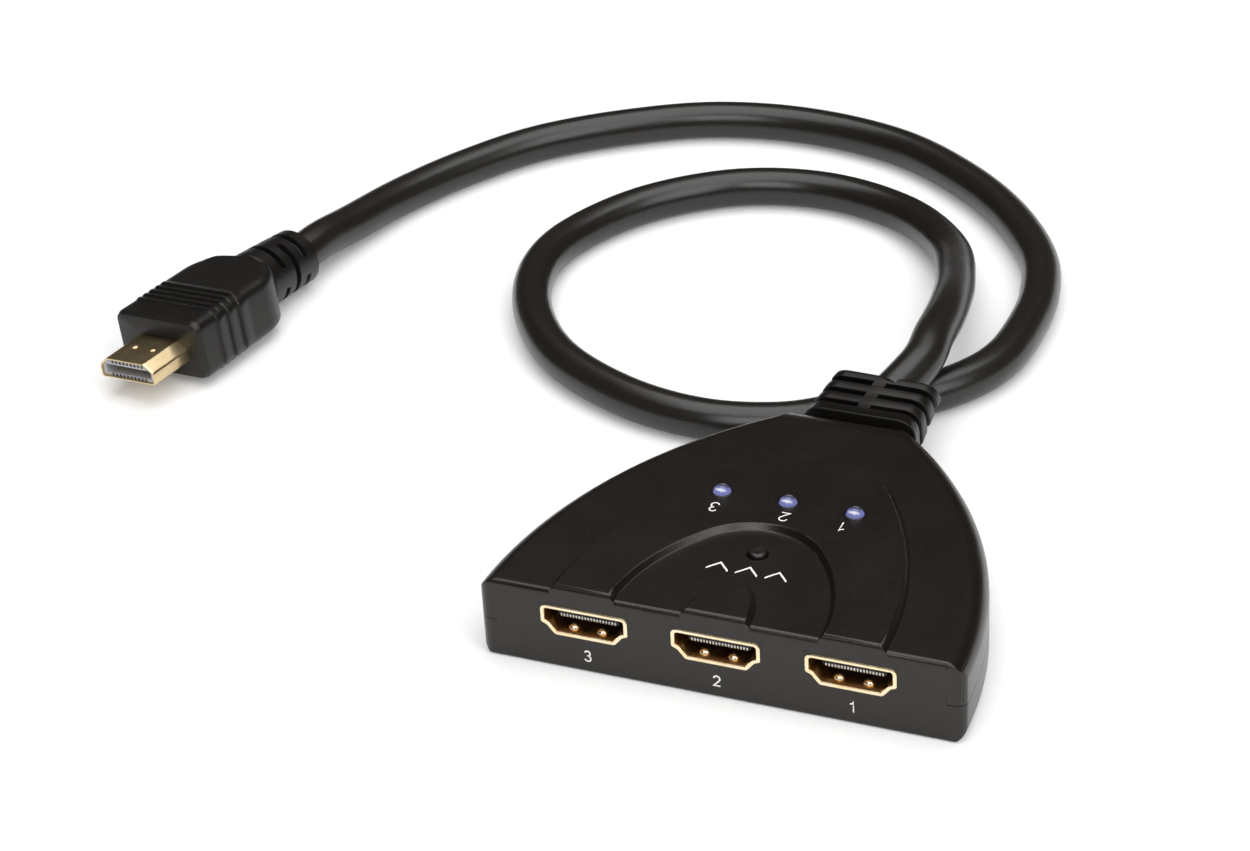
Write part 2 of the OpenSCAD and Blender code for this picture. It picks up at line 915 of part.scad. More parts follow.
module cable_boot() {
    bridge_len = groove_w + rib_len / 2;
    color(rubber) {
        for (i = [0:boot_ribs - 1])
            boot_slice((i + 0.5) / boot_ribs, rib_len, 0);
        for (i = [1:boot_ribs - 1]) {
            s = i / boot_ribs;
            boot_slice(s, bridge_len, groove_depth);
            at_boot(s)
                box([-spine_w / 2, -bridge_len / 2, -boot_h / 2 + boot_fall * s / 2 + fit_gap],
                    [spine_w / 2, bridge_len / 2, boot_h / 2 - boot_fall * s / 2 - fit_gap]);
        }
        translate([0, boot_inner_y + flange_t / 2, boot_z])
            along_y(back + boot_gap + rib_len / 2 - boot_inner_y - flange_t / 2)
                polygon(round_rect(waist_w, waist_h, waist_r));
        translate([0, boot_inner_y, boot_z])
            along_y(flange_t)
                polygon(round_rect(flange_w, flange_h, waist_r));
    }
}

plug_at = [-145, 21];
plug_corner_r = 1.8;
plug_z = touch_gap + plug_corner_r + (plug_h / 2 - plug_corner_r) * cos(plug_roll)
    + (plug_w / 2 - plug_corner_r) * sin(plug_roll);
plug_heading = [sin(plug_yaw), cos(plug_yaw), 0];
plug_end = [plug_at[0], plug_at[1], plug_z]
    + (plug_shell_len + plug_len + collar_len + touch_gap) * plug_heading;

// Middle line of the cable between the strain relief and the plug
cable_points = [
    [4.8, 58.4, 14], [5.6, 66.8, 14.9], [4.2, 80, 13.6], [0.4, 97, 10.2], [-7, 116.5, 6.2],
    [-21, 131.5, 4.3], [-40, 137.5, 4.1], [-59, 134, 4.1], [-75, 121.5, 4.1], [-84.5, 104, 4.1],
    [-86, 88, 4.1], [-80, 71, 4.1], [-67.5, 55.5, 4.1], [-50, 45.5, 4.1], [-33, 42.2, 4.1],
    [-19.6, 46.2, 4.1], [-9.2, 53.8, 4.1], [2.2, 62.6, 4.1], [10.6, 71, 4.1], [15, 80, 4.1],
    [16, 92, 4.1], [15, 106, 4.1], [10.5, 121, 4.1], [0, 137, 4.1], [-14, 150.5, 4.1],
    [-32, 161.5, 4.1], [-54, 166, 4.1], [-75, 163.5, 4.1], [-93, 154.5, 4.1], [-109, 141.5, 4.1],
    [-120, 125.5, 4.1], [-127.5, 109, 4.3], [-131.5, 93, 5.2], [-133.5, 83, 6.2],
];
cable_route = concat([boot_end], cable_points, [plug_end]);
cable_steps = 2;
cable_sides = 12;

// Smooth curve through the points of a route
function on_curve(p, i, t) =
    let (a = p[max(i - 1, 0)], b = p[i], c = p[i + 1], d = p[min(i + 2, len(p) - 1)])
    b + 0.5 * t * (c - a + t * (2 * a - 5 * b + 4 * c - d + t * (3 * (b - c) + d - a)));
function curve(p, steps) = concat(
    [for (i = [0:len(p) - 2], k = [0:steps - 1]) on_curve(p, i, k / steps)],
    [p[len(p) - 1]]);
function unit(v) = v / norm(v);

// Tube round a curve whose two ends face along first and last
module tube(p, d, sides, first, last) {
    n = len(p);
    rings = [for (i = [0:n - 1])
        let (
            along = i == 0 ? first : i == n - 1 ? last : unit(p[i + 1] - p[i - 1]),
            across = unit(cross(along, [0, 0, 1])),
            up = cross(across, along))
        each [for (k = [0:sides - 1])
            let (a = 360 * k / sides)
            p[i] + d / 2 * (cos(a) * across + sin(a) * up)]];
    skin = [for (i = [0:n - 2], k = [0:sides - 1])
        let (a = i * sides + k, b = i * sides + (k + 1) % sides)
        each [[a, b, a + sides], [b, b + sides, a + sides]]];
    end = (n - 1) * sides;
    ends = [for (k = [1:sides - 2]) each [[0, k + 1, k], [end, end + k, end + k + 1]]];
    polyhedron(rings, concat(skin, ends));
}

module cable() {
    color(rubber)
        tube(curve(cable_route, cable_steps), cable_d, cable_sides, boot_heading(last_rib), -plug_heading);
}

module cable_wires() {
    start_pitch = wire_d + 2 * fit_gap;
    pad_pitch = 2.3;
    pad_in = 4;
    start_lift = 2;
    wire_sides = 8;
    pad_y = front + board_rear - pad_in;
    rest_z = board_top + wire_d / 2 + fit_gap;
    start_z = boot_z + start_lift;
    color("#c8c4ba")
    for (i = [0:wire_count - 1]) {
        k = i - (wire_count - 1) / 2;
        mid_y = (pad_y + boot_inner_y) / 2;
        tube(curve([
                [k * start_pitch, boot_inner_y, start_z],
                [k * start_pitch, boot_inner_y - wire_d, start_z],
                [k * (start_pitch + pad_pitch) / 2, mid_y, (start_z + rest_z) / 2],
                [k * pad_pitch, pad_y + 2 * wire_d, rest_z],
                [k * pad_pitch, pad_y, rest_z]], cable_steps),
            wire_d, wire_sides, [0, -1, 0], [0, -1, 0]);
    }
}

// Plug, drawn with the middle of its tip at the origin and the cable toward +Y
module at_plug() {
    translate([plug_at[0], plug_at[1], plug_z])
        rotate([0, -plug_roll, -plug_yaw])
            children();
}

plug_sheet_t = 0.3;
plug_root = 2;
plug_narrow_w = port_narrow_w - (port_w - plug_shell_w);
plug_side_h = port_side_h - (port_h - plug_shell_h);
slot_play = 0.2;
slot_w = tongue_w + 2 * slot_play;
slot_h = tongue_t + 2 * contact_t + 2 * slot_play;
slot_depth = 8;
slot_z = -tongue_z;
insulator_back = 0.5;

// The plug lies upside down, with its wide side toward the floor
function plug_outline(inset) = [for (p = connector_outline(
    plug_shell_w - 2 * inset, plug_shell_h - 2 * inset, plug_narrow_w - 2 * inset, plug_side_h - inset))
    [p[0], -p[1]]];

module plug_shell() {
    dimple_d = 1.5;
    dimple_rise = 0.25;
    dimple_y = 5.8;
    color(gold)
    at_plug() {
        difference() {
            along_y(plug_shell_len + plug_root)
                polygon(plug_outline(0));
            translate([0, -past, 0])
                along_y(plug_shell_len + plug_root + 2 * past)
                    polygon(plug_outline(plug_sheet_t));
        }
        for (s = [-1, 1])
            translate([s * plug_narrow_w / 4, dimple_y, plug_shell_h / 2 - plug_sheet_t / 2])
                cylinder(d1 = dimple_d, d2 = dimple_d / 2, h = plug_sheet_t / 2 + dimple_rise);
    }
}

module plug_insulator() {
    color(dark)
    at_plug()
        difference() {
            translate([0, insulator_back, 0])
                along_y(plug_shell_len + plug_root - insulator_back)
                    polygon(plug_outline(plug_sheet_t + fit_gap / 3));
            box([-slot_w / 2, -past, slot_z - slot_h / 2], [slot_w / 2, slot_depth, slot_z + slot_h / 2]);
            plug_contact_rows();
        }
}

// Contacts set into the slot's two faces
module plug_contact_rows() {
    for (row = [0, 1]) {
        count = row_counts[1 - row];
        z0 = slot_z + (row == 0 ? slot_h / 2 : -slot_h / 2 - 2 * contact_t);
        for (i = [0:count - 1])
            translate([(i - (count - 1) / 2) * contact_pitch, 0, 0])
                box([-contact_w / 2, insulator_back + contact_start, z0],
                    [contact_w / 2, slot_depth, z0 + 2 * contact_t]);
    }
}

module plug_contacts() {
    color(gold)
    at_plug()
        plug_contact_rows();
}

// Moulding of the plug: a rounded bar, drawn in at the back, with grip ribs and a grooved collar
module plug_housing() {
    y0 = plug_shell_len;
    y1 = plug_shell_len + plug_len;
    y2 = y1 + collar_len;
    shoulder_r = 8.6;
    heel_r = 3;
    nose_r = 0.8;
    heel_drop = 0.8;
    rib_first = 6.4;
    top_rib_pitch = 2.4;
    side_rib_pitch = 4;
    rib_w = 0.8;
    rib_depth = 0.4;
    top_rib_in = 2.4;
    side_rib_in = 1;
    ring_first = 3.2;
    ring_bridge = 40;
    ring_w = 1;
    ring_pitch = 3.6;
    ring_depth = 1;
    plan = concat(
        arc([nose_r - plug_w / 2, y0 + nose_r], nose_r, 180, 270),
        arc([plug_w / 2 - nose_r, y0 + nose_r], nose_r, 270, 360),
        arc([plug_w / 2 - shoulder_r, y1 - shoulder_r], shoulder_r, 0, 90, 8),
        arc([shoulder_r - plug_w / 2, y1 - shoulder_r], shoulder_r, 90, 180, 8));
    lengthwise = concat(
        [[y0, -plug_h / 2]],
        arc([y1 - heel_r, heel_drop + heel_r - plug_h / 2], heel_r, 280, 360),
        arc([y1 - heel_r, plug_h / 2 - heel_drop - heel_r], heel_r, 0, 80),
        [[y0, plug_h / 2]]);
    collar = [[0, y1 - shoulder_r], [collar_d / 2 - 1, y1 - shoulder_r], [collar_d / 2, y1],
        [collar_tip_d / 2, y2 - nose_r], [collar_tip_d / 2 - nose_r, y2], [0, y2]];
    color(black)
    at_plug()
        difference() {
            union() {
                intersection() {
                    translate([0, 0, -plug_h])
                        linear_extrude(height = 2 * plug_h)
                            polygon(plan);
                    across_x(2 * plug_w)
                        polygon(lengthwise);
                    translate([0, y0, 0])
                        along_y(plug_len)
                            polygon(round_rect(plug_w, plug_h, plug_corner_r));
                }
                rotate([-90, 0, 0])
                    rotate_extrude()
                        polygon(collar);
            }
            along_y(y0 + plug_root)
                polygon(plug_outline(-fit_gap / 3));
            for (i = [0:4])
                translate([0, y0 + rib_first + i * top_rib_pitch, 0])
                    box([top_rib_in - plug_w / 2, 0, plug_h / 2 - rib_depth],
                        [plug_w / 2 - top_rib_in, rib_w, plug_h]);
            for (i = [0:2], s = [0, 180])
                rotate([0, s, 0])
                    translate([0, y0 + rib_first + i * side_rib_pitch, 0])
                        box([plug_w / 2 - rib_depth, 0, side_rib_in - plug_h / 2],
                            [plug_w, rib_w, plug_h / 2 - side_rib_in]);
            for (i = [0:2], turn = [0, 180])
                rotate([-90, turn + ring_bridge / 2 + (i % 2) * 90, 0])
                    rotate_extrude(angle = 180 - ring_bridge)
                        translate([collar_tip_d / 2 - ring_depth, y1 + ring_first + i * ring_pitch])
                            square([collar_d, ring_w]);
        }
}

top_cover();
bottom_cover();
case_screws();
circuit_board();
for (n = [1:3]) {
    port_shell(n);
    port_insulator(n);
    port_contacts(n);
    led(n);
}
select_button();
switch_base();
switch_frame();
switch_dome();
switch_terminals();
led_leads();
switch_chip();
chip_leads();
regulator();
capacitors();
resistors();
cable_wires();
cable_boot();
cable();
plug_housing();
plug_shell();
plug_insulator();
plug_contacts();
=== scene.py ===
import bpy, bmesh
from math import cos, pi, radians, sin, sqrt, tan
from mathutils import Euler, Matrix, Vector
from mathutils.geometry import intersect_line_line_2d


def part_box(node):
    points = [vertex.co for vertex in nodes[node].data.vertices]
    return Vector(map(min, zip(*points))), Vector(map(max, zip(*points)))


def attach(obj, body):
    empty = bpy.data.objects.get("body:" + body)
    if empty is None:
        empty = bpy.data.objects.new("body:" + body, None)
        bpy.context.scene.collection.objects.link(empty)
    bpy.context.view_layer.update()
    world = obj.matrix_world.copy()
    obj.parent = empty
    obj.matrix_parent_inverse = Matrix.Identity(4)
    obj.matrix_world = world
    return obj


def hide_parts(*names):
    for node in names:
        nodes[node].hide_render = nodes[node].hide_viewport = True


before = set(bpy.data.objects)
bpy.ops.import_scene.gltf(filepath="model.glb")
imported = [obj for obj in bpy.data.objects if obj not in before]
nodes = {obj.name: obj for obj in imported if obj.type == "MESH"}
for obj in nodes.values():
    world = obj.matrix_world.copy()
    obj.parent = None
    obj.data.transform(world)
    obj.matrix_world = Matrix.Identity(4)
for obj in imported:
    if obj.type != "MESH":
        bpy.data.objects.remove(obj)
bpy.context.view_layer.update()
scene = bpy.context.scene
mm = 0.001

# camera, fitted to the photograph
shot = {"place": (173.16, -459.01, 329.55), "turn": 23.869, "rise": 31.055, "roll": -3.425, "lens": 96.06}

cameraData = bpy.data.cameras.new("shotCamera")
cameraData.sensor_width = 36
cameraData.lens = shot["lens"]
cameraData.clip_start = 0.01
camera = bpy.data.objects.new("shotCamera", cameraData)
camera.matrix_world = (Matrix.Translation(Vector(shot["place"]) * mm)
                       @ Matrix.Rotation(radians(shot["turn"]), 4, "Z")
                       @ Matrix.Rotation(radians(90 - shot["rise"]), 4, "X")
                       @ Matrix.Rotation(radians(shot["roll"]), 4, "Z"))
scene.collection.objects.link(camera)
scene.camera = camera
print("camera placed")


# sockets of shader nodes, with the operators that the finishes use
class Value:
    def __init__(self, finish, socket):
        self.finish = finish
        self.socket = socket

    def maths(self, operation, first, second):
        return self.finish.node("ShaderNodeMath", {"operation": operation}, {0: first, 1: second})

    def __add__(self, other):
        return self.maths("ADD", self, other)

    def __sub__(self, other):
        return self.maths("SUBTRACT", self, other)

    def __rsub__(self, other):
        return self.maths("SUBTRACT", other, self)

    def __mul__(self, other):
        return self.maths("MULTIPLY", self, other)

    def larger(self, other):
        return self.maths("MAXIMUM", self, other)

    __radd__ = __add__
    __rmul__ = __mul__


class Finish:
    def __init__(self, name):
        self.material = bpy.data.materials.new(name)
        self.material.use_nodes = True
        self.tree = self.material.node_tree
        self.shader = self.tree.nodes["Principled BSDF"]

    def node(self, kind, settings=None, sockets=None, output=0):
        made = self.tree.nodes.new(kind)
        for key, setting in (settings or {}).items():
            setattr(made, key, setting)
        for key, value in (sockets or {}).items():
            self.feed(made.inputs[key], value)
        return Value(self, made.outputs[output])

    def feed(self, socket, value):
        if isinstance(value, Value):
            self.tree.links.new(value.socket, socket)
        else:
            socket.default_value = value

    def set(self, **sockets):
        for key, value in sockets.items():
            self.feed(self.shader.inputs[key.replace("_", " ")], value)

    def place(self):
        return self.node("ShaderNodeTexCoord", output="Object")

    def mapped(self, vector, scale):
        return self.node("ShaderNodeMapping", None, {"Vector": vector, "Scale": scale})

    def noise(self, vector, scale, detail=3.0, rough=0.55):
        return self.node("ShaderNodeTexNoise", None,
                         {"Vector": vector, "Scale": scale, "Detail": detail, "Roughness": rough})

    # 0 at low and 1 at high
    def ramp(self, value, low, high):
        return self.node("ShaderNodeMapRange", {"clamp": True}, {0: value, 1: low, 2: high})

    def mix(self, share, first, second):
        return self.node("ShaderNodeMix", {"data_type": "RGBA"}, {0: share, 6: first, 7: second}, 2)

    def bump(self, height, strength, distance):
        return self.node("ShaderNodeBump", None, {"Height": height, "Strength": strength, "Distance": distance})


# screen colour, 0 to 255, as the linear colour of a socket
def tone(red, green, blue):
    return tuple((c / 255 / 12.92) if c < 11 else ((c / 255 + 0.055) / 1.055) ** 2.4
                 for c in (red, green, blue)) + (1,)


# moulded plastic: an eroded tool leaves a fine even grain, with faint clouds in the gloss
def mouldedFinish(name, dark, pale, grain, roughness, relief, shine=0.5):
    finish = Finish(name)
    place = finish.place()
    fine = finish.noise(place, grain, 2.0, 0.6)
    clouds = finish.noise(place, 90.0, 3.0)
    speck = finish.ramp(finish.noise(place, grain * 0.7, 1.0), 0.62, 0.78)
    finish.set(Base_Color=finish.mix(clouds * 0.7 + speck * 0.5, dark, pale),
               Roughness=roughness + (clouds - 0.5) * 0.1 + (fine - 0.5) * 0.12,
               Normal=finish.bump(fine, relief, 0.0002))
    finish.shader.inputs["Specular IOR Level"].default_value = shine
    finish.shader.inputs["Specular Tint"].default_value = tone(255, 251, 247)
    return finish


caseBlack = mouldedFinish("caseBlack", tone(14, 11, 8), tone(20, 16, 12), 3200.0, 0.3, 0.12)
buttonBlack = mouldedFinish("buttonBlack", tone(16, 15, 14), tone(24, 22, 21), 2600.0, 0.32, 0.06)
plugBlack = mouldedFinish("plugBlack", tone(13, 12, 11), tone(19, 18, 16), 2800.0, 0.38, 0.14, 0.4)
bootRubber = mouldedFinish("bootRubber", tone(12, 11, 9), tone(18, 16, 14), 2200.0, 0.38, 0.18, 0.28)
insulatorBlack = mouldedFinish("insulatorBlack", tone(24, 23, 23), tone(38, 37, 37), 2600.0, 0.5, 0.08, 0.4)
insulatorGrey = mouldedFinish("insulatorGrey", tone(168, 168, 172), tone(200, 200, 204), 2400.0, 0.5, 0.06)
chipBlack = mouldedFinish("chipBlack", tone(24, 24, 25), tone(40, 40, 41), 3600.0, 0.6, 0.2)


# cable jacket: extruded, so its faint streaks run along the cable
def jacketFinish(name):
    finish = Finish(name)
    skin = finish.node("ShaderNodeAttribute", {"attribute_name": "skin"}, output="Vector")
    streaks = finish.noise(finish.mapped(skin, (1, 1, 0.03)), 900.0, 3.0)
    peel = finish.noise(finish.mapped(skin, (1, 1, 0.6)), 700.0, 2.0)
    clouds = finish.noise(finish.mapped(skin, (1, 1, 0.25)), 60.0, 3.0)
    finish.set(Base_Color=finish.mix(clouds * 0.6 + streaks * 0.4, tone(21, 19, 17), tone(32, 30, 27)),
               Roughness=0.28 + (clouds - 0.5) * 0.12 + (streaks - 0.5) * 0.1,
               Normal=finish.bump(peel * 0.7 + streaks * 0.5, 0.12, 0.0003))
    return finish


cableJacket = jacketFinish("cableJacket")


# plated sheet: thin gold over nickel, drawn in one direction, paler where it wears
def platedFinish(name, deep, pale, roughness, drawn):
    finish = Finish(name)
    place = finish.place()
    streaks = finish.noise(finish.mapped(place, drawn), 900.0, 3.0)
    tarnish = finish.noise(place, 420.0, 4.0, 0.6)
    finish.set(Base_Color=finish.mix(finish.ramp(tarnish * 0.6 + streaks * 0.4, 0.3, 0.7), deep, pale),
               Metallic=1.0, Roughness=roughness + (tarnish - 0.5) * 0.1 + (streaks - 0.5) * 0.08,
               Normal=finish.bump(streaks, 0.08, 0.0001))
    return finish


goldPlate = platedFinish("goldPlate", tone(208, 184, 140), tone(228, 208, 168), 0.3, (1, 0.08, 1))
# painted light: the socket shell is one sheet of gold plating; its rolled bead takes a paler copy, partly painted
# sheen, and its inside takes a darker brown copy, painted shade
socketGoldPaintedSheen = platedFinish("socketGoldPaintedSheen", tone(240, 214, 164), tone(254, 242, 214), 0.24, (1, 0.1, 1))
socketGoldPaintedShade = platedFinish("socketGoldPaintedShade", tone(168, 118, 62), tone(222, 172, 108), 0.32, (1, 0.1, 1))
contactMetal = platedFinish("contactMetal", tone(205, 178, 122), tone(240, 222, 178), 0.3, (1, 0.06, 1))
steelBright = platedFinish("steelBright", tone(150, 150, 150), tone(205, 205, 204), 0.34, (0.1, 1, 1))
tinEdge = platedFinish("tinEdge", tone(176, 176, 174), tone(230, 230, 226), 0.36, (1, 1, 1))


# laminate with its weave under green lacquer
def boardFinish(name):
    finish = Finish(name)
    place = finish.place()
    weave = finish.node("ShaderNodeTexWave", {"wave_type": "BANDS", "bands_direction": "X"},
                        {"Vector": place, "Scale": 700.0, "Distortion": 0.6})
    cross = finish.node("ShaderNodeTexWave", {"wave_type": "BANDS", "bands_direction": "Y"},
                        {"Vector": place, "Scale": 700.0, "Distortion": 0.6})
    finish.set(Base_Color=finish.mix(weave * cross, tone(16, 60, 34), tone(28, 88, 52)),
               Roughness=0.34 + weave * 0.08, Normal=finish.bump(weave + cross, 0.05, 0.0002))
    return finish


boardGreen = boardFinish("boardGreen")


# fired ceramic and wire insulation: pale bodies with a soft mottle
def mottledFinish(name, dark, pale, scale, roughness):
    finish = Finish(name)
    clouds = finish.noise(finish.place(), scale, 4.0, 0.6)
    finish.set(Base_Color=finish.mix(clouds, dark, pale), Roughness=roughness + (clouds - 0.5) * 0.15,
               Normal=finish.bump(clouds, 0.08, 0.0002))
    return finish


ceramicTan = mottledFinish("ceramicTan", tone(150, 128, 98), tone(186, 166, 132), 1500.0, 0.5)
wireSkin = mottledFinish("wireSkin", tone(128, 34, 30), tone(160, 52, 44), 800.0, 0.4)
printInk = mottledFinish("printInk", tone(238, 236, 232), tone(252, 251, 249), 3000.0, 0.6)


# light lens: a clear dome that glows blue in its front half; the white bar across it is partly the lit chip's glow
# and partly a painted highlight, and a thin grey arc near its back rim is a painted reflection
def lensFinish(name):
    finish = Finish(name)
    spot = finish.node("ShaderNodeSeparateXYZ", None,
                       {0: finish.node("ShaderNodeAttribute", {"attribute_name": "lens"}, output="Vector")})
    across, along, height = (Value(finish, output) for output in spot.socket.node.outputs)
    cloud = finish.noise(finish.place(), 1200.0, 2.0)
    sight = along * 0.52 + height * 0.85
    low = finish.ramp(sight, 0.8, 0.5)
    # painted reflection: a thin grey arc near the back rim of the dome
    paintedRimReflection = finish.ramp(sight, 0.9, 0.93)
    # painted highlight: a white bar across the front of the dome, over the chip's glow
    paintedHighlightBar = finish.ramp((sight - 0.3) * (sight - 0.3) * 13.0 + across * across * 0.9, 0.5, 0.0)
    body = finish.mix(low, tone(40, 40, 54), tone(116, 121, 184))
    finish.set(Base_Color=finish.mix(cloud, tone(40, 42, 60), tone(60, 64, 84)),
               Roughness=0.1 + (cloud - 0.5) * 0.06,
               Emission_Color=finish.mix(paintedRimReflection, finish.mix(paintedHighlightBar, body, tone(246, 247, 255)), tone(128, 128, 134)))
    finish.shader.inputs["Emission Strength"].default_value = 0.8
    return finish


lensGlowPaintedHighlight = lensFinish("lensGlowPaintedHighlight")
print("finishes mixed")


# a mesh becomes a piece on a body
def makePiece(name, bm, finish, stands=(), body="case", sharp=34):
    mesh = bpy.data.meshes.new(name)
    bm.to_mesh(mesh)
    bm.free()
    mesh.shade_smooth()
    mesh.set_sharp_from_angle(angle=radians(sharp))
    mesh.materials.clear()
    mesh.materials.append(finish.material)
    piece = bpy.data.objects.new(name, mesh)
    scene.collection.objects.link(piece)
    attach(piece, body)
    if stands:
        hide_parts(*stands)
    return piece


# outline with filleted corners, from corners of (x, z, radius) that run counterclockwise
def filleted(corners, steps=5):
    outline = []
    for i, (x, z, radius) in enumerate(corners):
        here = Vector((x, z))
        back = (Vector(corners[i - 1][:2]) - here).normalized()
        ahead = (Vector(corners[(i + 1) % len(corners)][:2]) - here).normalized()
        half = back.angle(ahead) / 2
        middle = here + (back + ahead).normalized() * radius / sin(half)
        start, end = here + back * radius / tan(half) - middle, here + ahead * radius / tan(half) - middle
        outline += [middle + start.lerp(end, k / steps).normalized() * radius for k in range(steps + 1)]
    return outline


# corners moved inward by a distance, with their fillets to suit
def insetCorners(corners, inset):
    moved = []
    for i, (x, z, radius) in enumerate(corners):
        here = Vector((x, z))
        came = (here - Vector(corners[i - 1][:2])).normalized()
        goes = (Vector(corners[(i + 1) % len(corners)][:2]) - here).normalized()
        normals = Vector((-came.y, came.x)), Vector((-goes.y, goes.x))
        spot = here + (normals[0] + normals[1]) * inset / (1 + normals[0].dot(normals[1]))
        bend = 1 if came.x * goes.y - came.y * goes.x > 0 else -1
        moved.append((spot.x, spot.y, max(0.04, radius - bend * inset)))
    return moved


# the elements of one kind among those that an operator made
def only(kind, geom):
    return [g for g in geom if isinstance(g, kind)]


# skin over a row of rings with one count of points: the first ring, extruded from ring to ring
def skinRings(bm, rings, around=False):
    order = bm.verts.layers.int.new("order")
    first = bmesh.ops.create_circle(bm, segments=len(rings[0]), radius=mm)["verts"]
    for i, v in enumerate(first):
        v[order] = i
        v.co = rings[0][i]
    loops = [list({e for v in first for e in v.link_edges})]
    for ring in rings[1:] + (rings[:1] if around else []):
        grown = bmesh.ops.extrude_edge_only(bm, edges=loops[-1])["geom"]
        for v in only(bmesh.types.BMVert, grown):
            v.co = ring[v[order]]
        loops.append(only(bmesh.types.BMEdge, grown))
    if around:
        bmesh.ops.remove_doubles(bm, verts=bm.verts, dist=1e-7)
    else:
        for loop in (loops[0], loops[-1]):
            bmesh.ops.edgeloop_fill(bm, edges=loop)
    bm.verts.layers.int.remove(bm.verts.layers.int["order"])
    bmesh.ops.recalc_face_normals(bm, faces=bm.faces)


# points of an outline cast outward from the middle onto a polygon
def castOut(outline, polygon):
    cast = []
    for p in outline:
        hits = [intersect_line_line_2d((0, 0), p.normalized() * 60, a, b)
                for a, b in zip(polygon, polygon[1:] + polygon[:1])]
        cast.append(next(hit for hit in hits if hit))
    return cast


# soft step from 0 at low to 1 at high
def softStep(low, high, value):
    t = min(max((value - low) / (high - low), 0.0), 1.0)
    return t * t * (3 - 2 * t)


# strain relief: a bent, ribbed block whose grooves stop at a spine on top and below
boot = {"wide": 21.6, "tall": 11.5, "taper": 1.1, "fall": 3.7, "long": 15.6, "height": 7.4, "case": 36.0,
        "gap": 0.3, "yaw": 11.0, "twist": 2.0, "pitch": 33.0, "aside": 0.6, "under": 1.6, "lift": (0.6, 0.2, 2.4),
        "spine": 2.4, "flank": 0.12, "corner": 3.2, "waist": (12.4, 6.04, 2.4), "waistEnd": 36.7,
        "flange": (15.6, 6.44, 2.4), "flangeLong": 2.2, "inner": 31.85,
        "start": 0.6, "stop": 15.0, "grooves": (4.5, 8.4, 12.1),
        "lip": ((0, 0.4), (0.05, 0.1), (0.14, -0.1), (0.3, -0.16), (0.5, -0.1), (0.62, 0.0)),
        "rim": ((0.95, 0), (0.74, 0.06), (0.64, 0.22), (0.58, 0.5), (0.53, 1.15), (0.4, 1.3)),
        "tip": ((-0.7, 0), (-0.35, 0.08), (-0.12, 0.28), (-0.02, 0.6), (0, 0.9))}


def bootPlace(s):
    yaw, pitch = radians(boot["yaw"] * s / 2), radians(boot["pitch"] * s / 2)
    low, rise, bow = boot["lift"]
    return Vector((boot["aside"] + boot["long"] * s * sin(yaw),
                   boot["case"] + boot["gap"] + boot["long"] * s * cos(yaw) * cos(pitch),
                   boot["height"] + low + rise * s + bow * s * (1 - s) + boot["long"] * s * sin(pitch)))


def bootTurn(s):
    return Euler((radians(boot["pitch"] * s), 0, radians(-boot["twist"] * s))).to_matrix()


def bootSection(wide, tall, corner, inset, spineTall):
    corners = [(wide / 2, -tall / 2, corner), (wide / 2, tall / 2, corner),
               (-wide / 2, tall / 2, corner), (-wide / 2, -tall / 2, corner)]
    outline = filleted(insetCorners(corners, inset), 6)
    quarter = len(outline) // 4
    edge = boot["spine"] / 2
    flank = edge + boot["flank"]
    tops = [(flank, None), (edge, spineTall), (-edge, spineTall), (-flank, None)]
    level = tall / 2 - inset
    ring = outline[:2 * quarter] + [Vector((x, level if z is None else z)) for x, z in tops]
    return ring + outline[2 * quarter:] + [Vector((-x, -level if z is None else -z)) for x, z in tops]


# one ring at a share of the length; in a groove the spine keeps its full height
def bootRing(s, inset, inGroove):
    wide, tall = boot["wide"] - boot["taper"] * s, boot["tall"] - boot["fall"] * s
    spineTall = tall / 2 - (0 if inGroove else inset)
    section = bootSection(wide, tall, boot["corner"], inset, spineTall)
    for p in section:
        p.y += boot["under"] * s * softStep(0, 1, -p.y / tall * 2)
    return [(bootPlace(s) + bootTurn(s) @ Vector((p.x, 0, p.y))) * mm for p in section]


def straightRing(y, sizes):
    section = bootSection(*sizes, 0, sizes[1] / 2)
    return [Vector((p.x, y, boot["height"] + p.y)) * mm for p in section]


flangeEnd = boot["inner"] + boot["flangeLong"]
bootRings = [straightRing(boot["inner"], boot["flange"]), straightRing(flangeEnd, boot["flange"]),
             straightRing(flangeEnd + 0.05, boot["waist"]), straightRing(boot["waistEnd"], boot["waist"])]
bootRings += [bootRing((boot["start"] + u) / boot["long"], inset, False) for u, inset in boot["lip"]]
for middle in boot["grooves"]:
    rims = [(-u, inset) for u, inset in boot["rim"]] + list(reversed(boot["rim"]))
    bootRings += [bootRing((middle + u) / boot["long"], inset, True) for u, inset in rims]
bootRings += [bootRing((boot["stop"] + u) / boot["long"], inset, False) for u, inset in boot["tip"]]
bm = bmesh.new()
skinRings(bm, bootRings)
makePiece("strainRelief", bm, bootRubber, ["cable_boot"], sharp=50)
print("strain relief skinned")

# plug, drawn with its tip at the origin and the cable toward +Y
plug = {"tip": (-145.0, 21.0, 6.875), "roll": 6.0, "yaw": 10.5, "nose": 10.6, "body": 29.5, "collar": 15.0,
        "droop": 0.9}
plugTurn = Euler((0, radians(-plug["roll"]), radians(-plug["yaw"]))).to_matrix().to_4x4()
plugMatrix = Matrix.Translation(Vector(plug["tip"]) * mm) @ plugTurn
plugHeading = Vector((sin(radians(plug["yaw"])), cos(radians(plug["yaw"])), 0))

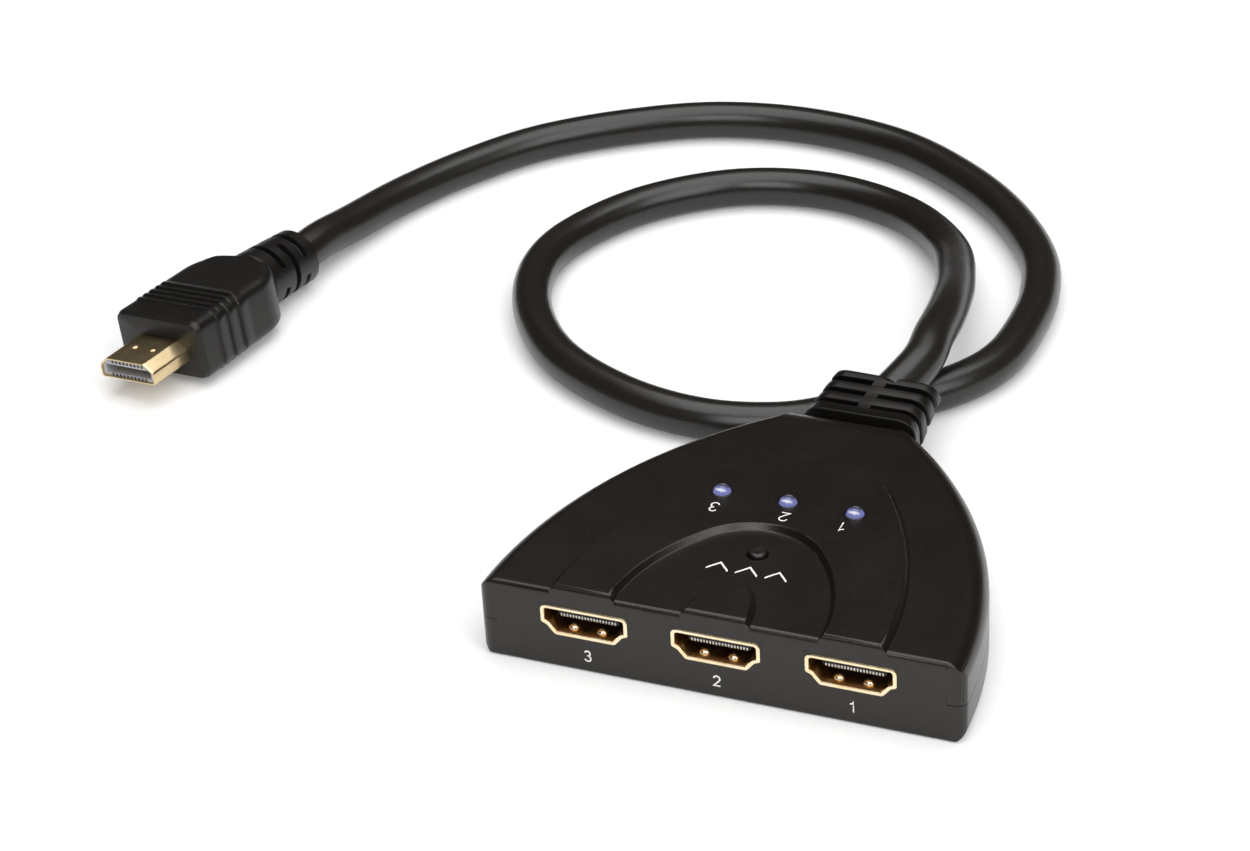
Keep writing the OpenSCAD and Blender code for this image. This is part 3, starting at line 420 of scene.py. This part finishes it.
# cable: one smooth run from the strain relief to the plug
cable = {"thick": 8.0, "steps": 8, "sides": 36, "aside": 1.5, "sunk": 2.4, "points": [
    (5.7, 58.4, 14), (5.5, 66.8, 14.9), (4.2, 80, 13.6), (0.4, 97, 10.2), (-7, 116.5, 6.2),
    (-21, 131.5, 4.3), (-40, 137.5, 4.1), (-59, 134, 4.1), (-75, 121.5, 4.1), (-84.5, 104, 4.1),
    (-86, 88, 4.1), (-80, 71, 4.1), (-67.5, 55.5, 4.1), (-50, 45.5, 4.1), (-33, 42, 4.1),
    (-18.2, 44.8, 4.1), (-7.6, 51.8, 4.1), (3.4, 61.2, 4.1), (11, 70.4, 4.1), (15, 80, 4.1),
    (16, 92, 4.1), (15, 106, 4.1), (10.5, 121, 4.1), (0, 137, 4.1), (-14, 150.5, 4.1),
    (-32, 161.5, 4.1), (-54, 166, 4.1), (-75, 163.5, 4.1), (-93, 154.5, 4.1), (-109, 141.5, 4.1),
    (-120, 125.5, 4.1), (-127.5, 109, 4.3), (-131.5, 93, 5.2), (-133.5, 83, 6.2)]}


def smoothRun(points, steps):
    run = []
    for i in range(len(points) - 1):
        a, b, c, d = (points[min(max(i + k, 0), len(points) - 1)] for k in (-1, 0, 1, 2))
        for t in (k / steps for k in range(steps)):
            run.append(b + 0.5 * t * (c - a + t * (2 * a - 5 * b + 4 * c - d + t * (3 * (b - c) + d - a))))
    return run + [points[-1]]


cableStart = bootPlace(boot["stop"] / boot["long"]) + Vector((cable["aside"], 0, 0))
cableStart += (cableStart - Vector(cable["points"][0])).normalized() * cable["sunk"]
cableEnd = Vector(plug["tip"]) + plugHeading * (plug["nose"] + plug["body"] + plug["collar"] + 0.02)
cableEnd.z -= plug["droop"]
cableRun = [p * mm for p in smoothRun([cableStart, *map(Vector, cable["points"]), cableEnd], cable["steps"])]
cableLength = sum((b - a).length for a, b in zip(cableRun, cableRun[1:]))


# tube drawn along a run; the skin attribute unrolls it for the streaks of the jacket
def drawTube(run, thick, sides):
    bm = bmesh.new()
    skin = bm.verts.layers.float_vector.new("skin")
    ways = [(run[min(i + 1, len(run) - 1)] - run[max(i - 1, 0)]).normalized() for i in range(len(run))]
    turn = Vector((0, 0, 1)).rotation_difference(ways[0])
    here = Matrix.Translation(run[0]) @ turn.to_matrix().to_4x4()
    bmesh.ops.create_circle(bm, cap_ends=True, segments=sides, radius=thick / 2, matrix=here)
    ring, verts, along = list(bm.edges), list(bm.verts), 0.0
    for i, spot in enumerate(run):
        if i:
            turn = ways[i - 1].rotation_difference(ways[i]) @ turn
            ahead = Matrix.Translation(spot) @ turn.to_matrix().to_4x4()
            grown = bmesh.ops.extrude_edge_only(bm, edges=ring)["geom"]
            ring, verts = only(bmesh.types.BMEdge, grown), only(bmesh.types.BMVert, grown)
            bmesh.ops.transform(bm, matrix=ahead @ here.inverted(), verts=verts)
            along += (spot - run[i - 1]).length
            here = ahead
        flat = here.inverted()
        for v in verts:
            local = flat @ v.co
            v[skin] = (local.x, local.y, along)
    bmesh.ops.edgeloop_fill(bm, edges=[e for e in ring if len(e.link_faces) == 1])
    bmesh.ops.recalc_face_normals(bm, faces=bm.faces)
    return bm


cablePiece = makePiece("outputCable", drawTube(cableRun, cable["thick"] * mm, cable["sides"]), cableJacket,
                       ["cable"])
print(f"cable laid, {cableLength:.3f} m")


# smooth copy of a cover, its doubles merged, with changes made to the copy
def copyCover(name, node, *changes):
    bm = bmesh.new()
    bm.from_mesh(nodes[node].data)
    bmesh.ops.remove_doubles(bm, verts=bm.verts, dist=2e-6)
    bmesh.ops.dissolve_limit(bm, angle_limit=radians(0.4), verts=bm.verts, edges=bm.edges)
    for change in changes:
        change(bm)
    piece = makePiece(name, bm, caseBlack, [node], sharp=28)
    piece.modifiers.new("evenShading", "WEIGHTED_NORMAL").keep_sharp = True


# the inner arch of the roof, whose crown is drawn a little nearer the sockets
arch = {"roof": 15.57, "half": 20.0, "front": -36.0, "reach": 31.6, "share": 0.932, "button": (0, -15.0, 2.4),
        "middle": (7.0, 12.0)}


def inArch(p):
    x, y, clear = arch["button"]
    ahead = p.y - arch["front"]
    middle = abs(p.x) < arch["middle"][0] and ahead < arch["middle"][1]
    return (p.z > arch["roof"] and abs(p.x) < arch["half"] and 0.01 < ahead < arch["reach"] and not middle
            and (p.x - x) ** 2 + (p.y - y) ** 2 > clear * clear)


def drawArch(bm):
    front = arch["front"] * mm
    for v in bm.verts:
        if inArch(v.co / mm):
            v.co.y = front + (v.co.y - front) * arch["share"]


# the two front corners of the roof, where the side rims run into the socket face with a crease:
# a fine grid is cut there, and smoothing its points rounds the crease
roofCorner = {"from": (40.34, -36.1, 12.4), "to": (43.6, -34.7, 15.8), "step": 0.17, "passes": 14, "spare": 0.2,
              "longest": 2.2}


def inCorner(p, spare=0.0):
    return all(low - spare < c < high + spare
               for low, c, high in zip(roofCorner["from"], (abs(p.x), p.y, p.z), roofCorner["to"]))


def softenCorners(bm):
    step, spare, longest = roofCorner["step"], roofCorner["spare"], roofCorner["longest"] * roofCorner["step"] * mm
    for axis in range(3):
        low, high = roofCorner["from"][axis], roofCorner["to"][axis]
        cuts = [low + step * k for k in range(int((high - low) / step) + 1)]
        for at in cuts + [-c for c in cuts if axis == 0]:
            faces = [f for f in bm.faces if any(inCorner(v.co / mm, spare) for v in f.verts)]
            geom = list({*faces, *(e for f in faces for e in f.edges), *(v for f in faces for v in f.verts)})
            where = [at * mm if k == axis else 0.0 for k in range(3)]
            bmesh.ops.bisect_plane(bm, geom=geom, dist=1e-6, plane_co=where,
                                   plane_no=[float(k == axis) for k in range(3)])
    inner = [v for v in bm.verts if inCorner(v.co / mm) and all(e.calc_length() < longest for e in v.link_edges)]
    for _ in range(roofCorner["passes"]):
        bmesh.ops.smooth_vert(bm, verts=inner, factor=0.5, use_axis_x=True, use_axis_y=True, use_axis_z=True)


copyCover("caseTop", "top_cover", softenCorners, drawArch)
copyCover("caseBottom", "bottom_cover")

# the joint beside and above the sockets is closed so well that no line shows there
joint = {"face": (-36.004, -35.5), "strips": ((-40.34, 40.34, 14.62, 14.8), (-40.34, -40.1, 8.9, 14.8),
                                              (40.1, 40.34, 8.9, 14.8))}
bm = bmesh.new()
for left, right, low, high in joint["strips"]:
    made = bmesh.ops.create_cube(bm, size=1.0)["verts"]
    least, most = Vector((left, joint["face"][0], low)) * mm, Vector((right, joint["face"][1], high)) * mm
    bmesh.ops.transform(bm, verts=made, matrix=Matrix.Translation((least + most) / 2)
                        @ Matrix.Diagonal((*(most - least), 1)))
makePiece("jointStrips", bm, caseBlack)
print("mouldings copied")

# sockets: connector outline with its wide side up and a ledge at each lower flank, its mouth rolled to a bead
socket = {"half": ((5.5, -2.95, 0.95), (6.95, -1.2, 0.6), (8.0, -0.78, 0.55), (8.0, 2.95, 1.25)),
          "pitch": 23.8, "face": -36.0, "height": 9.7,
          "bead": ((0.45, 0), (0.0, 0), (-0.15, 0.05), (-0.24, 0.2), (-0.25, 0.5), (-0.18, 0.68), (0.02, 0.78),
                   (0.45, 0.8)),
          "liner": ((0.1, 0.77), (0.6, 0.86), (1.3, 0.93), (11.4, 0.93), (11.4, 0.7), (0.5, 0.7)),
          "hole": ((5.93, -3.08), (8.13, -0.53), (8.13, 3.08)), "holeDeep": 1.2,
          "dimple": (2.6, 1.8, 1.05, 0.85), "dimpleUp": 0.9}


def bothSides(half):
    return list(half) + [(-corner[0], *corner[1:]) for corner in reversed(half)]


# pressed bump on a sheet, a shallow dome
def addDimple(bm, middle, radius, rise, matrix):
    made = bmesh.ops.create_uvsphere(bm, u_segments=24, v_segments=14, radius=1.0)["verts"]
    fit = Matrix.Diagonal((radius, radius, rise, 1))
    bmesh.ops.transform(bm, matrix=matrix @ Matrix.Translation(middle) @ fit, verts=made)


def atSocket(n, outline, y):
    return [Vector(((2 - n) * socket["pitch"] + p.x, socket["face"] + y, socket["height"] + p.y)) * mm
            for p in outline]


def socketShell(n):
    corners = bothSides(socket["half"])
    # the bead takes the paler copy of the plating (partly painted sheen), the liner inside takes the darker copy
    # (painted shade)
    for name, finish, stands in (("bead", socketGoldPaintedSheen, [f"port_{n}_shell"]), ("liner", socketGoldPaintedShade, ())):
        bm = bmesh.new()
        skinRings(bm, [atSocket(n, filleted(insetCorners(corners, inset), 5), y) for y, inset in socket[name]],
                  around=True)
        if name == "bead":
            across, y, radius, rise = socket["dimple"]
            for side in (-1, 1):
                spot = atSocket(n, [Vector((side * across, socket["half"][0][1] + socket["dimpleUp"]))], y)[0]
                addDimple(bm, spot, radius * mm, rise * mm, Matrix.Identity(4))
        makePiece(f"socket{name.title()}{n}", bm, finish, stands, sharp=40)
    bm = bmesh.new()
    edge = filleted(insetCorners(corners, -0.01), 5)
    hole = castOut(edge, bothSides(socket["hole"]))
    deep = socket["holeDeep"]
    skinRings(bm, [atSocket(n, *ring) for ring in ((hole, 0), (hole, deep), (edge, deep), (edge, 0))], around=True)
    makePiece(f"socketBezel{n}", bm, caseBlack)


# tinned ends of the contact strips along the front edge of the tongue
comb = {"count": 19, "pitch": 0.55, "size": (0.33, 0.3, 0.62), "edge": 0.05, "tongue": 1.98, "height": 0.0}


def tongueComb(n):
    bm = bmesh.new()
    for i in range(comb["count"]):
        made = bmesh.ops.create_cube(bm, size=1.0)["verts"]
        size = Matrix.Diagonal((*(length * mm for length in comb["size"]), 1))
        across = (i - (comb["count"] - 1) / 2) * comb["pitch"]
        spot = atSocket(n, [Vector((across, comb["height"]))], comb["tongue"])[0]
        bmesh.ops.transform(bm, matrix=Matrix.Translation(spot) @ size, verts=made)
    bmesh.ops.bevel(bm, geom=list(bm.edges), offset=comb["edge"] * mm, affect="EDGES", segments=2,
                    profile=0.5, material=-1)
    makePiece(f"tongueComb{n}", bm, tinEdge)


for n in (1, 2, 3):
    socketShell(n)
    tongueComb(n)
print("sockets pressed")

# plug moulding: a rounded bar with ribs across its top and sides, drawn in to a grooved collar
moulding = {"half": (10.7, 6.25), "rise": 0.3, "corner": 1.8, "start": 10.6, "end": 40.1, "tail": 55.1,
            "shoulder": 8.6, "plateau": 37.8, "draft": 0.012, "slope": 0.42, "drop": (0.5, 0.25),
            "front": ((0, 0.6), (0.08, 0.42), (0.9, 0.06), (1.2, 0)), "body": 1.35, "step": 0.11, "spokes": 112,
            "root": 1.9, "fit": 0.03, "chamfer": 0.8, "collar": (6.5, 5.95), "neck": 5.4, "droopLead": 4,
            "topRibs": {"count": 5, "first": 5.9, "pitch": 1.85, "edge": 0.2, "rise": 0.36},
            "sideRibs": {"count": 3, "first": 6.0, "pitch": 3.45, "edge": 0.2, "rise": 0.4},
            "grooves": {"count": 3, "first": 3.7, "pitch": 3.6, "half": 0.72, "deep": 1.2, "bridge": 20.0}}


# steps whose front edge is steep and whose back runs out
def stepAt(row, y):
    back = [y - row["first"] - i * row["pitch"] for i in range(row["count"])]
    return max((softStep(-row["edge"], 0, u) * (1 - softStep(0.2, row["pitch"] * 0.96, u)) for u in back), default=0)


# how far a row of grooves is cut at y, and which groove is nearest
def grooveAt(row, y):
    i = min(max(round((y - row["first"]) / row["pitch"]), 0), row["count"] - 1)
    return 1 - softStep(0.72, 1.0, abs(y - row["first"] - i * row["pitch"]) / row["half"]), i


# where a spoke leaves a rectangle with round corners, and the outward normal there
def spokeOut(spoke, wide, tall, corner):
    across, up = abs(spoke.x), abs(spoke.y)
    x, z = wide - corner, tall - corner
    if up * wide <= z * across:
        hit, normal = wide / across, Vector((1, 0))
    elif across * tall <= x * up:
        hit, normal = tall / up, Vector((0, 1))
    else:
        along = across * x + up * z
        hit = along + sqrt(max(along * along - x * x - z * z + corner * corner, 0))
        normal = (Vector((across, up)) * hit - Vector((x, z))) / corner
    return spoke * hit, Vector((normal.x * (1 if spoke.x > 0 else -1), normal.y * (1 if spoke.y > 0 else -1)))


# half width, half height and corner radius at y
def mouldingSizes(y):
    start, end, tail, shoulder, plateau = (moulding[k] for k in ("start", "end", "tail", "shoulder", "plateau"))
    wide, tall = moulding["half"]
    drop, run = moulding["drop"]
    bend = min(max((y - (end - shoulder)) / shoulder, 0.0), 1.0)
    wide = wide - shoulder * (1 - sqrt(1 - bend * bend))
    tall -= moulding["draft"] * (y - start) + moulding["slope"] * max(0.0, y - plateau)
    tall -= drop * softStep(plateau, plateau + run, y)
    ease = min(max((y - end) / (tail - end), 0.0), 1.0)
    near, far = moulding["collar"]
    neck = moulding["neck"] + (near - moulding["neck"]) * bend + (far - near) * ease
    neck -= max(0.0, y - tail + moulding["chamfer"])
    wide, tall = max(wide, neck), max(tall, neck)
    rounding = softStep(plateau, end - 0.5, y)
    return wide, tall, moulding["corner"] + (min(wide, tall) - moulding["corner"]) * rounding


def mouldingRing(y, inset=0.0):
    start, end, tail, lead, grooves = (moulding[k] for k in ("start", "end", "tail", "droopLead", "grooves"))
    wide, tall, corner = mouldingSizes(y)
    topRib, sideRib = (stepAt(row, y - start) * row["rise"] for row in (moulding["topRibs"], moulding["sideRibs"]))
    groove, i = grooveAt(grooves, y - end)
    bridgeFrom, bridgeFull = (cos(radians(grooves["bridge"] + more)) for more in (3, -3))
    droop = plug["droop"] * max(0.0, (y - end + lead) / (tail - end + lead)) ** 1.5
    ring = []
    for k in range(moulding["spokes"]):
        angle = 2 * pi * (k + 0.5) / moulding["spokes"]
        spot, normal = spokeOut(Vector((cos(angle), sin(angle))), wide - inset, tall - inset, corner - inset)
        spot += normal * (topRib * softStep(0.8, 1.0, abs(normal.y)) + sideRib * softStep(0.9, 1.0, abs(normal.x)))
        bridged = softStep(bridgeFrom, bridgeFull, abs(normal.x if i % 2 == 0 else normal.y))
        spot -= normal * groove * (1 - bridged) * grooves["deep"]
        ring.append(spot + Vector((0, moulding["rise"] - droop)))
    return ring


# plug nose: a folded sheet with its narrow side up and two bumps on it
nose = {"half": ((6.95, -2.225, 0.75), (6.95, 0.475, 0.7), (4.75, 2.225, 0.6)),
        "lip": ((12.6, 0), (0.6, 0), (0.14, 0.02), (0.03, 0.07), (0, 0.13), (0, 0.32), (0.05, 0.38), (0.4, 0.4),
                (12.6, 0.4)),
        "dimple": (2.3, 5.8, 0.9, 0.28)}


def atPlug(outline, y):
    return [plugMatrix @ (Vector((p.x, y, p.y)) * mm) for p in outline]


bm = bmesh.new()
noseCorners = bothSides(nose["half"])
skinRings(bm, [atPlug(filleted(insetCorners(noseCorners, inset), 5), y) for y, inset in nose["lip"]], around=True)
for side in (-1, 1):
    across, y, radius, rise = nose["dimple"]
    addDimple(bm, Vector((side * across, y, nose["half"][2][1])) * mm, radius * mm, rise * mm, plugMatrix)
nosePiece = makePiece("plugNose", bm, goldPlate, ["plug_shell"], sharp=40)


def mouldingRings():
    start, tail, step = moulding["start"], moulding["tail"], moulding["step"]
    noseHole = castOut(mouldingRing(start), filleted(insetCorners(noseCorners, -moulding["fit"]), 5))
    rings = [atPlug(noseHole, start + moulding["root"]), atPlug(noseHole, start)]
    rings += [atPlug(mouldingRing(start + y, inset), start + y) for y, inset in moulding["front"]]
    body = start + moulding["body"]
    stations = [body + k * step for k in range(int((tail - body) / step) + 1)]
    return rings + [atPlug(mouldingRing(y), y) for y in stations + [tail]]


bm = bmesh.new()
skinRings(bm, mouldingRings())
housingPiece = makePiece("plugMoulding", bm, plugBlack, ["plug_housing"], sharp=40)

# painted shade: thin dark tiles on the face of the plug's insulator stand for the shade in the notches of the contact
# rows
notchShade = {"face": 0.5, "rows": ((9, 1.2), (10, -1.6)), "pitch": 0.95, "size": (0.5, 0.06, 0.62)}
bm = bmesh.new()
for count, z in notchShade["rows"]:
    for i in range(count):
        made = bmesh.ops.create_cube(bm, size=1.0)["verts"]
        spot = Vector(((i - (count - 1) / 2) * notchShade["pitch"], notchShade["face"], z)) * mm
        size = Matrix.Diagonal((*(length * mm for length in notchShade["size"]), 1))
        bmesh.ops.transform(bm, matrix=plugMatrix @ Matrix.Translation(spot) @ size, verts=made)
notchShadePiece = makePiece("noseNotchShade", bm, insulatorBlack)
print("plug moulded")

# lights: turned domes
light = {"radius": 1.6, "rim": 0.25, "rimTall": 0.9, "top": 18.0, "pitch": 12.3, "y": 0.5, "band": 16.7,
         "bezel": (1.63, 0.4, 0.14), "bezelDeep": 0.3}


def turnedPiece(name, profile, x, y, finish, node, body="case", lens=None):
    bm = bmesh.new()
    verts = [bm.verts.new(Vector((x + r, y, z)) * mm) for r, z in profile]
    edges = [bm.edges.new(pair) for pair in zip(verts, verts[1:])]
    bmesh.ops.spin(bm, geom=verts + edges, cent=Vector((x, y, 0)) * mm, axis=(0, 0, 1), angle=2 * pi,
                   steps=48, use_merge=True)
    bmesh.ops.remove_doubles(bm, verts=bm.verts, dist=1e-6)
    bmesh.ops.recalc_face_normals(bm, faces=bm.faces)
    if lens:
        layer = bm.verts.layers.float_vector.new("lens")
        for v in bm.verts:
            v[layer] = (v.co / mm - Vector((x, y, lens[1]))) / lens[0]
    return makePiece(name, bm, finish, [node] if node else (), body, 40)


inner, broad, rise = light["bezel"]
foot = light["band"] - light["bezelDeep"]
ringProfile = [(inner + broad * (1 - cos(radians(a))) / 2, light["band"] + rise * sin(radians(a)))
               for a in range(0, 181, 15)]
ringProfile += [(inner + broad, foot), (inner, foot), ringProfile[0]]
for n in (1, 2, 3):
    x, y = (2 - n) * light["pitch"], light["y"]
    turnedPiece(f"lightBezel{n}", ringProfile, x, y, caseBlack, None)
    radius, low, dome = light["radius"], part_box(f"led_{n}")[0].z / mm, light["top"] - light["radius"]
    rim, shoulder = radius + light["rim"], low + light["rimTall"]
    profile = [(0, low), (rim, low), (rim, shoulder), (radius, shoulder)]
    profile += [(radius * cos(radians(a)), dome + radius * sin(radians(a))) for a in range(0, 90, 9)]
    profile.append((0, dome + radius))
    turnedPiece(f"lightDome{n}", profile, x, y, lensGlowPaintedHighlight, f"led_{n}", lens=(radius, dome))

# select button: a plunger with a rounded, slightly dished tip
button = {"radius": 1.65, "tip": 0.6, "collar": (2.2, 0.75), "y": -15.0, "dish": ((0.5, 0.05), (0, 0.07))}
low, high = (spot.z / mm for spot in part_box("select_button"))
radius, tip = button["radius"], button["tip"]
collar, collarTall = button["collar"]
profile = [(0, low), (collar, low), (collar, low + collarTall), (radius, low + collarTall)]
profile += [(radius - tip + tip * cos(radians(a)), high - tip + tip * sin(radians(a))) for a in range(0, 91, 10)]
profile += [(across, high - deep) for across, deep in button["dish"]]
turnedPiece("selectPlunger", profile, 0, button["y"], buttonBlack, "select_button", "button")
print("lights and button turned")

# printed marks: plain numerals at the sockets and lights, a row of chevrons by the button
marks = {"front": (((-23.5, 2.3), 3), ((0.0, 2.3), 2), ((24.0, 2.3), 1)), "frontTall": 2.2,
         "top": (((-11.84, -3.3), 3), ((0.89, -2.65), 2), ((11.48, -2.6), 1)), "topTall": 2.85,
         "frontStroke": 0.28, "topStroke": 0.24, "lift": 0.03, "band": 16.7, "roof": 15.6,
         "chevron": {"at": (0.2, -20.3), "wide": 3.9, "tall": 2.7, "stroke": 0.36, "slant": 1.4, "step": 5.3}}


def sweep(x, z, radius, start, end, steps=12):
    return [(x + radius * cos(radians(start + (end - start) * k / steps)),
             z + radius * sin(radians(start + (end - start) * k / steps))) for k in range(steps + 1)]


# middle lines of the numerals, one unit tall
numerals = {1: [(-0.2, 0.76), (-0.06, 0.79), (0.03, 0.86), (0.07, 0.97), (0.07, 0.03)],
            2: sweep(0, 0.7, 0.25, 172, -38) + [(-0.25, 0.06), (0.28, 0.06)],
            3: sweep(-0.01, 0.74, 0.22, 165, -80) + sweep(0, 0.27, 0.25, 80, -165)}


# flat faces made as thick as ink
def thicken(bm, faces, thick):
    grown = bmesh.ops.extrude_face_region(bm, geom=faces)["geom"]
    bmesh.ops.translate(bm, vec=(0, 0, thick), verts=only(bmesh.types.BMVert, grown))


# a stroke of even width along a line
def drawStroke(name, line, wide, matrix):
    bm = bmesh.new()
    line = [Vector(p) for p in line]
    sides = []
    for i, p in enumerate(line):
        came = (p - line[i - 1]).normalized() if i else (line[1] - p).normalized()
        goes = (line[i + 1] - p).normalized() if i + 1 < len(line) else came
        square = Vector((-came.y - goes.y, came.x + goes.x)).normalized()
        reach = min(wide / 2 / max(square.dot(Vector((-came.y, came.x))), 0.3), wide)
        sides.append([bm.verts.new((*(p + square * reach * side), 0)) for side in (-1, 1)])
    thicken(bm, [bm.faces.new((a[0], b[0], b[1], a[1])) for a, b in zip(sides, sides[1:])], marks["lift"])
    bmesh.ops.recalc_face_normals(bm, faces=bm.faces)
    bmesh.ops.transform(bm, matrix=matrix, verts=bm.verts)
    makePiece(name, bm, printInk)


def scaledLine(digit, tall):
    return [(x * tall, z * tall) for x, z in numerals[digit]]


sized = Matrix.Scale(mm, 4)
for (x, z), digit in marks["front"]:
    drawStroke(f"faceNumeral{digit}", scaledLine(digit, marks["frontTall"]), marks["frontStroke"],
               Matrix.Translation(Vector((x, socket["face"], z)) * mm) @ Matrix.Rotation(pi / 2, 4, "X") @ sized)
for (x, y), digit in marks["top"]:
    drawStroke(f"roofNumeral{digit}", scaledLine(digit, marks["topTall"]), marks["topStroke"],
               Matrix.Translation(Vector((x, y, marks["band"])) * mm) @ Matrix.Rotation(pi, 4, "Z") @ sized)

chevron = marks["chevron"]
half, tall, stroke = chevron["wide"] / 2, chevron["tall"] / 2, chevron["stroke"] * chevron["slant"]
bend = [(-half, -tall), (0, tall - stroke), (half, -tall), (half, -tall + stroke), (0, tall), (-half, -tall + stroke)]
bm = bmesh.new()
for k in (-1, 0, 1):
    x, y = chevron["at"][0] + k * chevron["step"], chevron["at"][1]
    face = bm.faces.new([bm.verts.new(Vector((x + a, y + b, marks["roof"])) * mm) for a, b in bend])
    thicken(bm, [face], marks["lift"] * mm)
bmesh.ops.recalc_face_normals(bm, faces=bm.faces)
makePiece("buttonChevrons", bm, printInk)
print("marks printed")

# solids whose shape is right keep it, and take a finish
solidFinish = {
    "port_1_insulator": insulatorBlack, "port_2_insulator": insulatorBlack, "port_3_insulator": insulatorBlack,
    "port_1_contacts": contactMetal, "port_2_contacts": contactMetal, "port_3_contacts": contactMetal,
    "plug_insulator": insulatorGrey, "plug_contacts": contactMetal, "case_screws": steelBright,
    "circuit_board": boardGreen, "switch_base": insulatorBlack, "switch_frame": steelBright,
    "switch_dome": steelBright, "switch_terminals": steelBright, "led_leads": steelBright,
    "switch_chip": chipBlack, "chip_leads": steelBright, "regulator": chipBlack, "capacitors": ceramicTan,
    "resistors": chipBlack, "cable_wires": wireSkin}
for node, finish in solidFinish.items():
    nodes[node].data.materials.clear()
    nodes[node].data.materials.append(finish.material)

# floor and light
studio = {"floor": 3.0, "floorLevel": -0.00002, "floorWhite": (0.9, 0.93), "share": 0.15,
          "world": 0.05, "worldTint": (1, 0.86, 0.74, 1), "aim": (0, 0.04, 0),
          "lamps": {"boxOver": {"at": (0.0, 0.18, 1.4), "size": 1.6, "power": 22.0},
                    "boxFront": {"at": (0.15, -1.0, 0.95), "size": 0.8, "power": 7.5},
                    "boxRight": {"at": (1.05, -0.4, 0.95), "size": 1.0, "power": 10.0}}}

bm = bmesh.new()
bmesh.ops.create_grid(bm, x_segments=2, y_segments=2, size=studio["floor"])
bmesh.ops.translate(bm, vec=(0, 0, studio["floorLevel"]), verts=bm.verts)
floorMesh = bpy.data.meshes.new("studioFloor")
bm.to_mesh(floorMesh)
bm.free()
studioFloor = bpy.data.objects.new("studioFloor", floorMesh)
scene.collection.objects.link(studioFloor)
paper = Finish("floorPaper")
fibre = paper.noise(paper.place(), 400.0, 3.0)
paper.set(Base_Color=paper.mix(fibre, *((white, white, white, 1) for white in studio["floorWhite"])), Roughness=0.9)
paper.shader.inputs["Specular IOR Level"].default_value = 0.0
lightPath = paper.node("ShaderNodeLightPath").socket.node
seen = [Value(paper, lightPath.outputs[name]) for name in ("Is Camera Ray", "Is Glossy Ray", "Is Transmission Ray")]
glow = paper.node("ShaderNodeEmission", None, {"Color": (1, 1, 1, 1), "Strength": 1.0})
blend = paper.node("ShaderNodeMixShader", None, {
    0: seen[0].larger(seen[1]).larger(seen[2]) * studio["share"],
    1: Value(paper, paper.shader.outputs[0]), 2: glow})
paper.feed(paper.tree.nodes["Material Output"].inputs["Surface"], blend)
floorMesh.materials.append(paper.material)

world = bpy.data.worlds.new("studioWorld")
scene.world = world
world.use_nodes = True
world.node_tree.nodes["Background"].inputs["Color"].default_value = studio["worldTint"]
world.node_tree.nodes["Background"].inputs["Strength"].default_value = studio["world"]

for name, lamp in studio["lamps"].items():
    lampData = bpy.data.lights.new(name, "AREA")
    lampData.shape, lampData.size, lampData.energy = "SQUARE", lamp["size"], lamp["power"]
    lampObject = bpy.data.objects.new(name, lampData)
    lampObject.location = lamp["at"]
    lampObject.rotation_euler = (Vector(studio["aim"]) - Vector(lamp["at"])).to_track_quat("-Z", "Y").to_euler()
    scene.collection.objects.link(lampObject)
scene.view_settings.view_transform = "Standard"
print("studio lit")
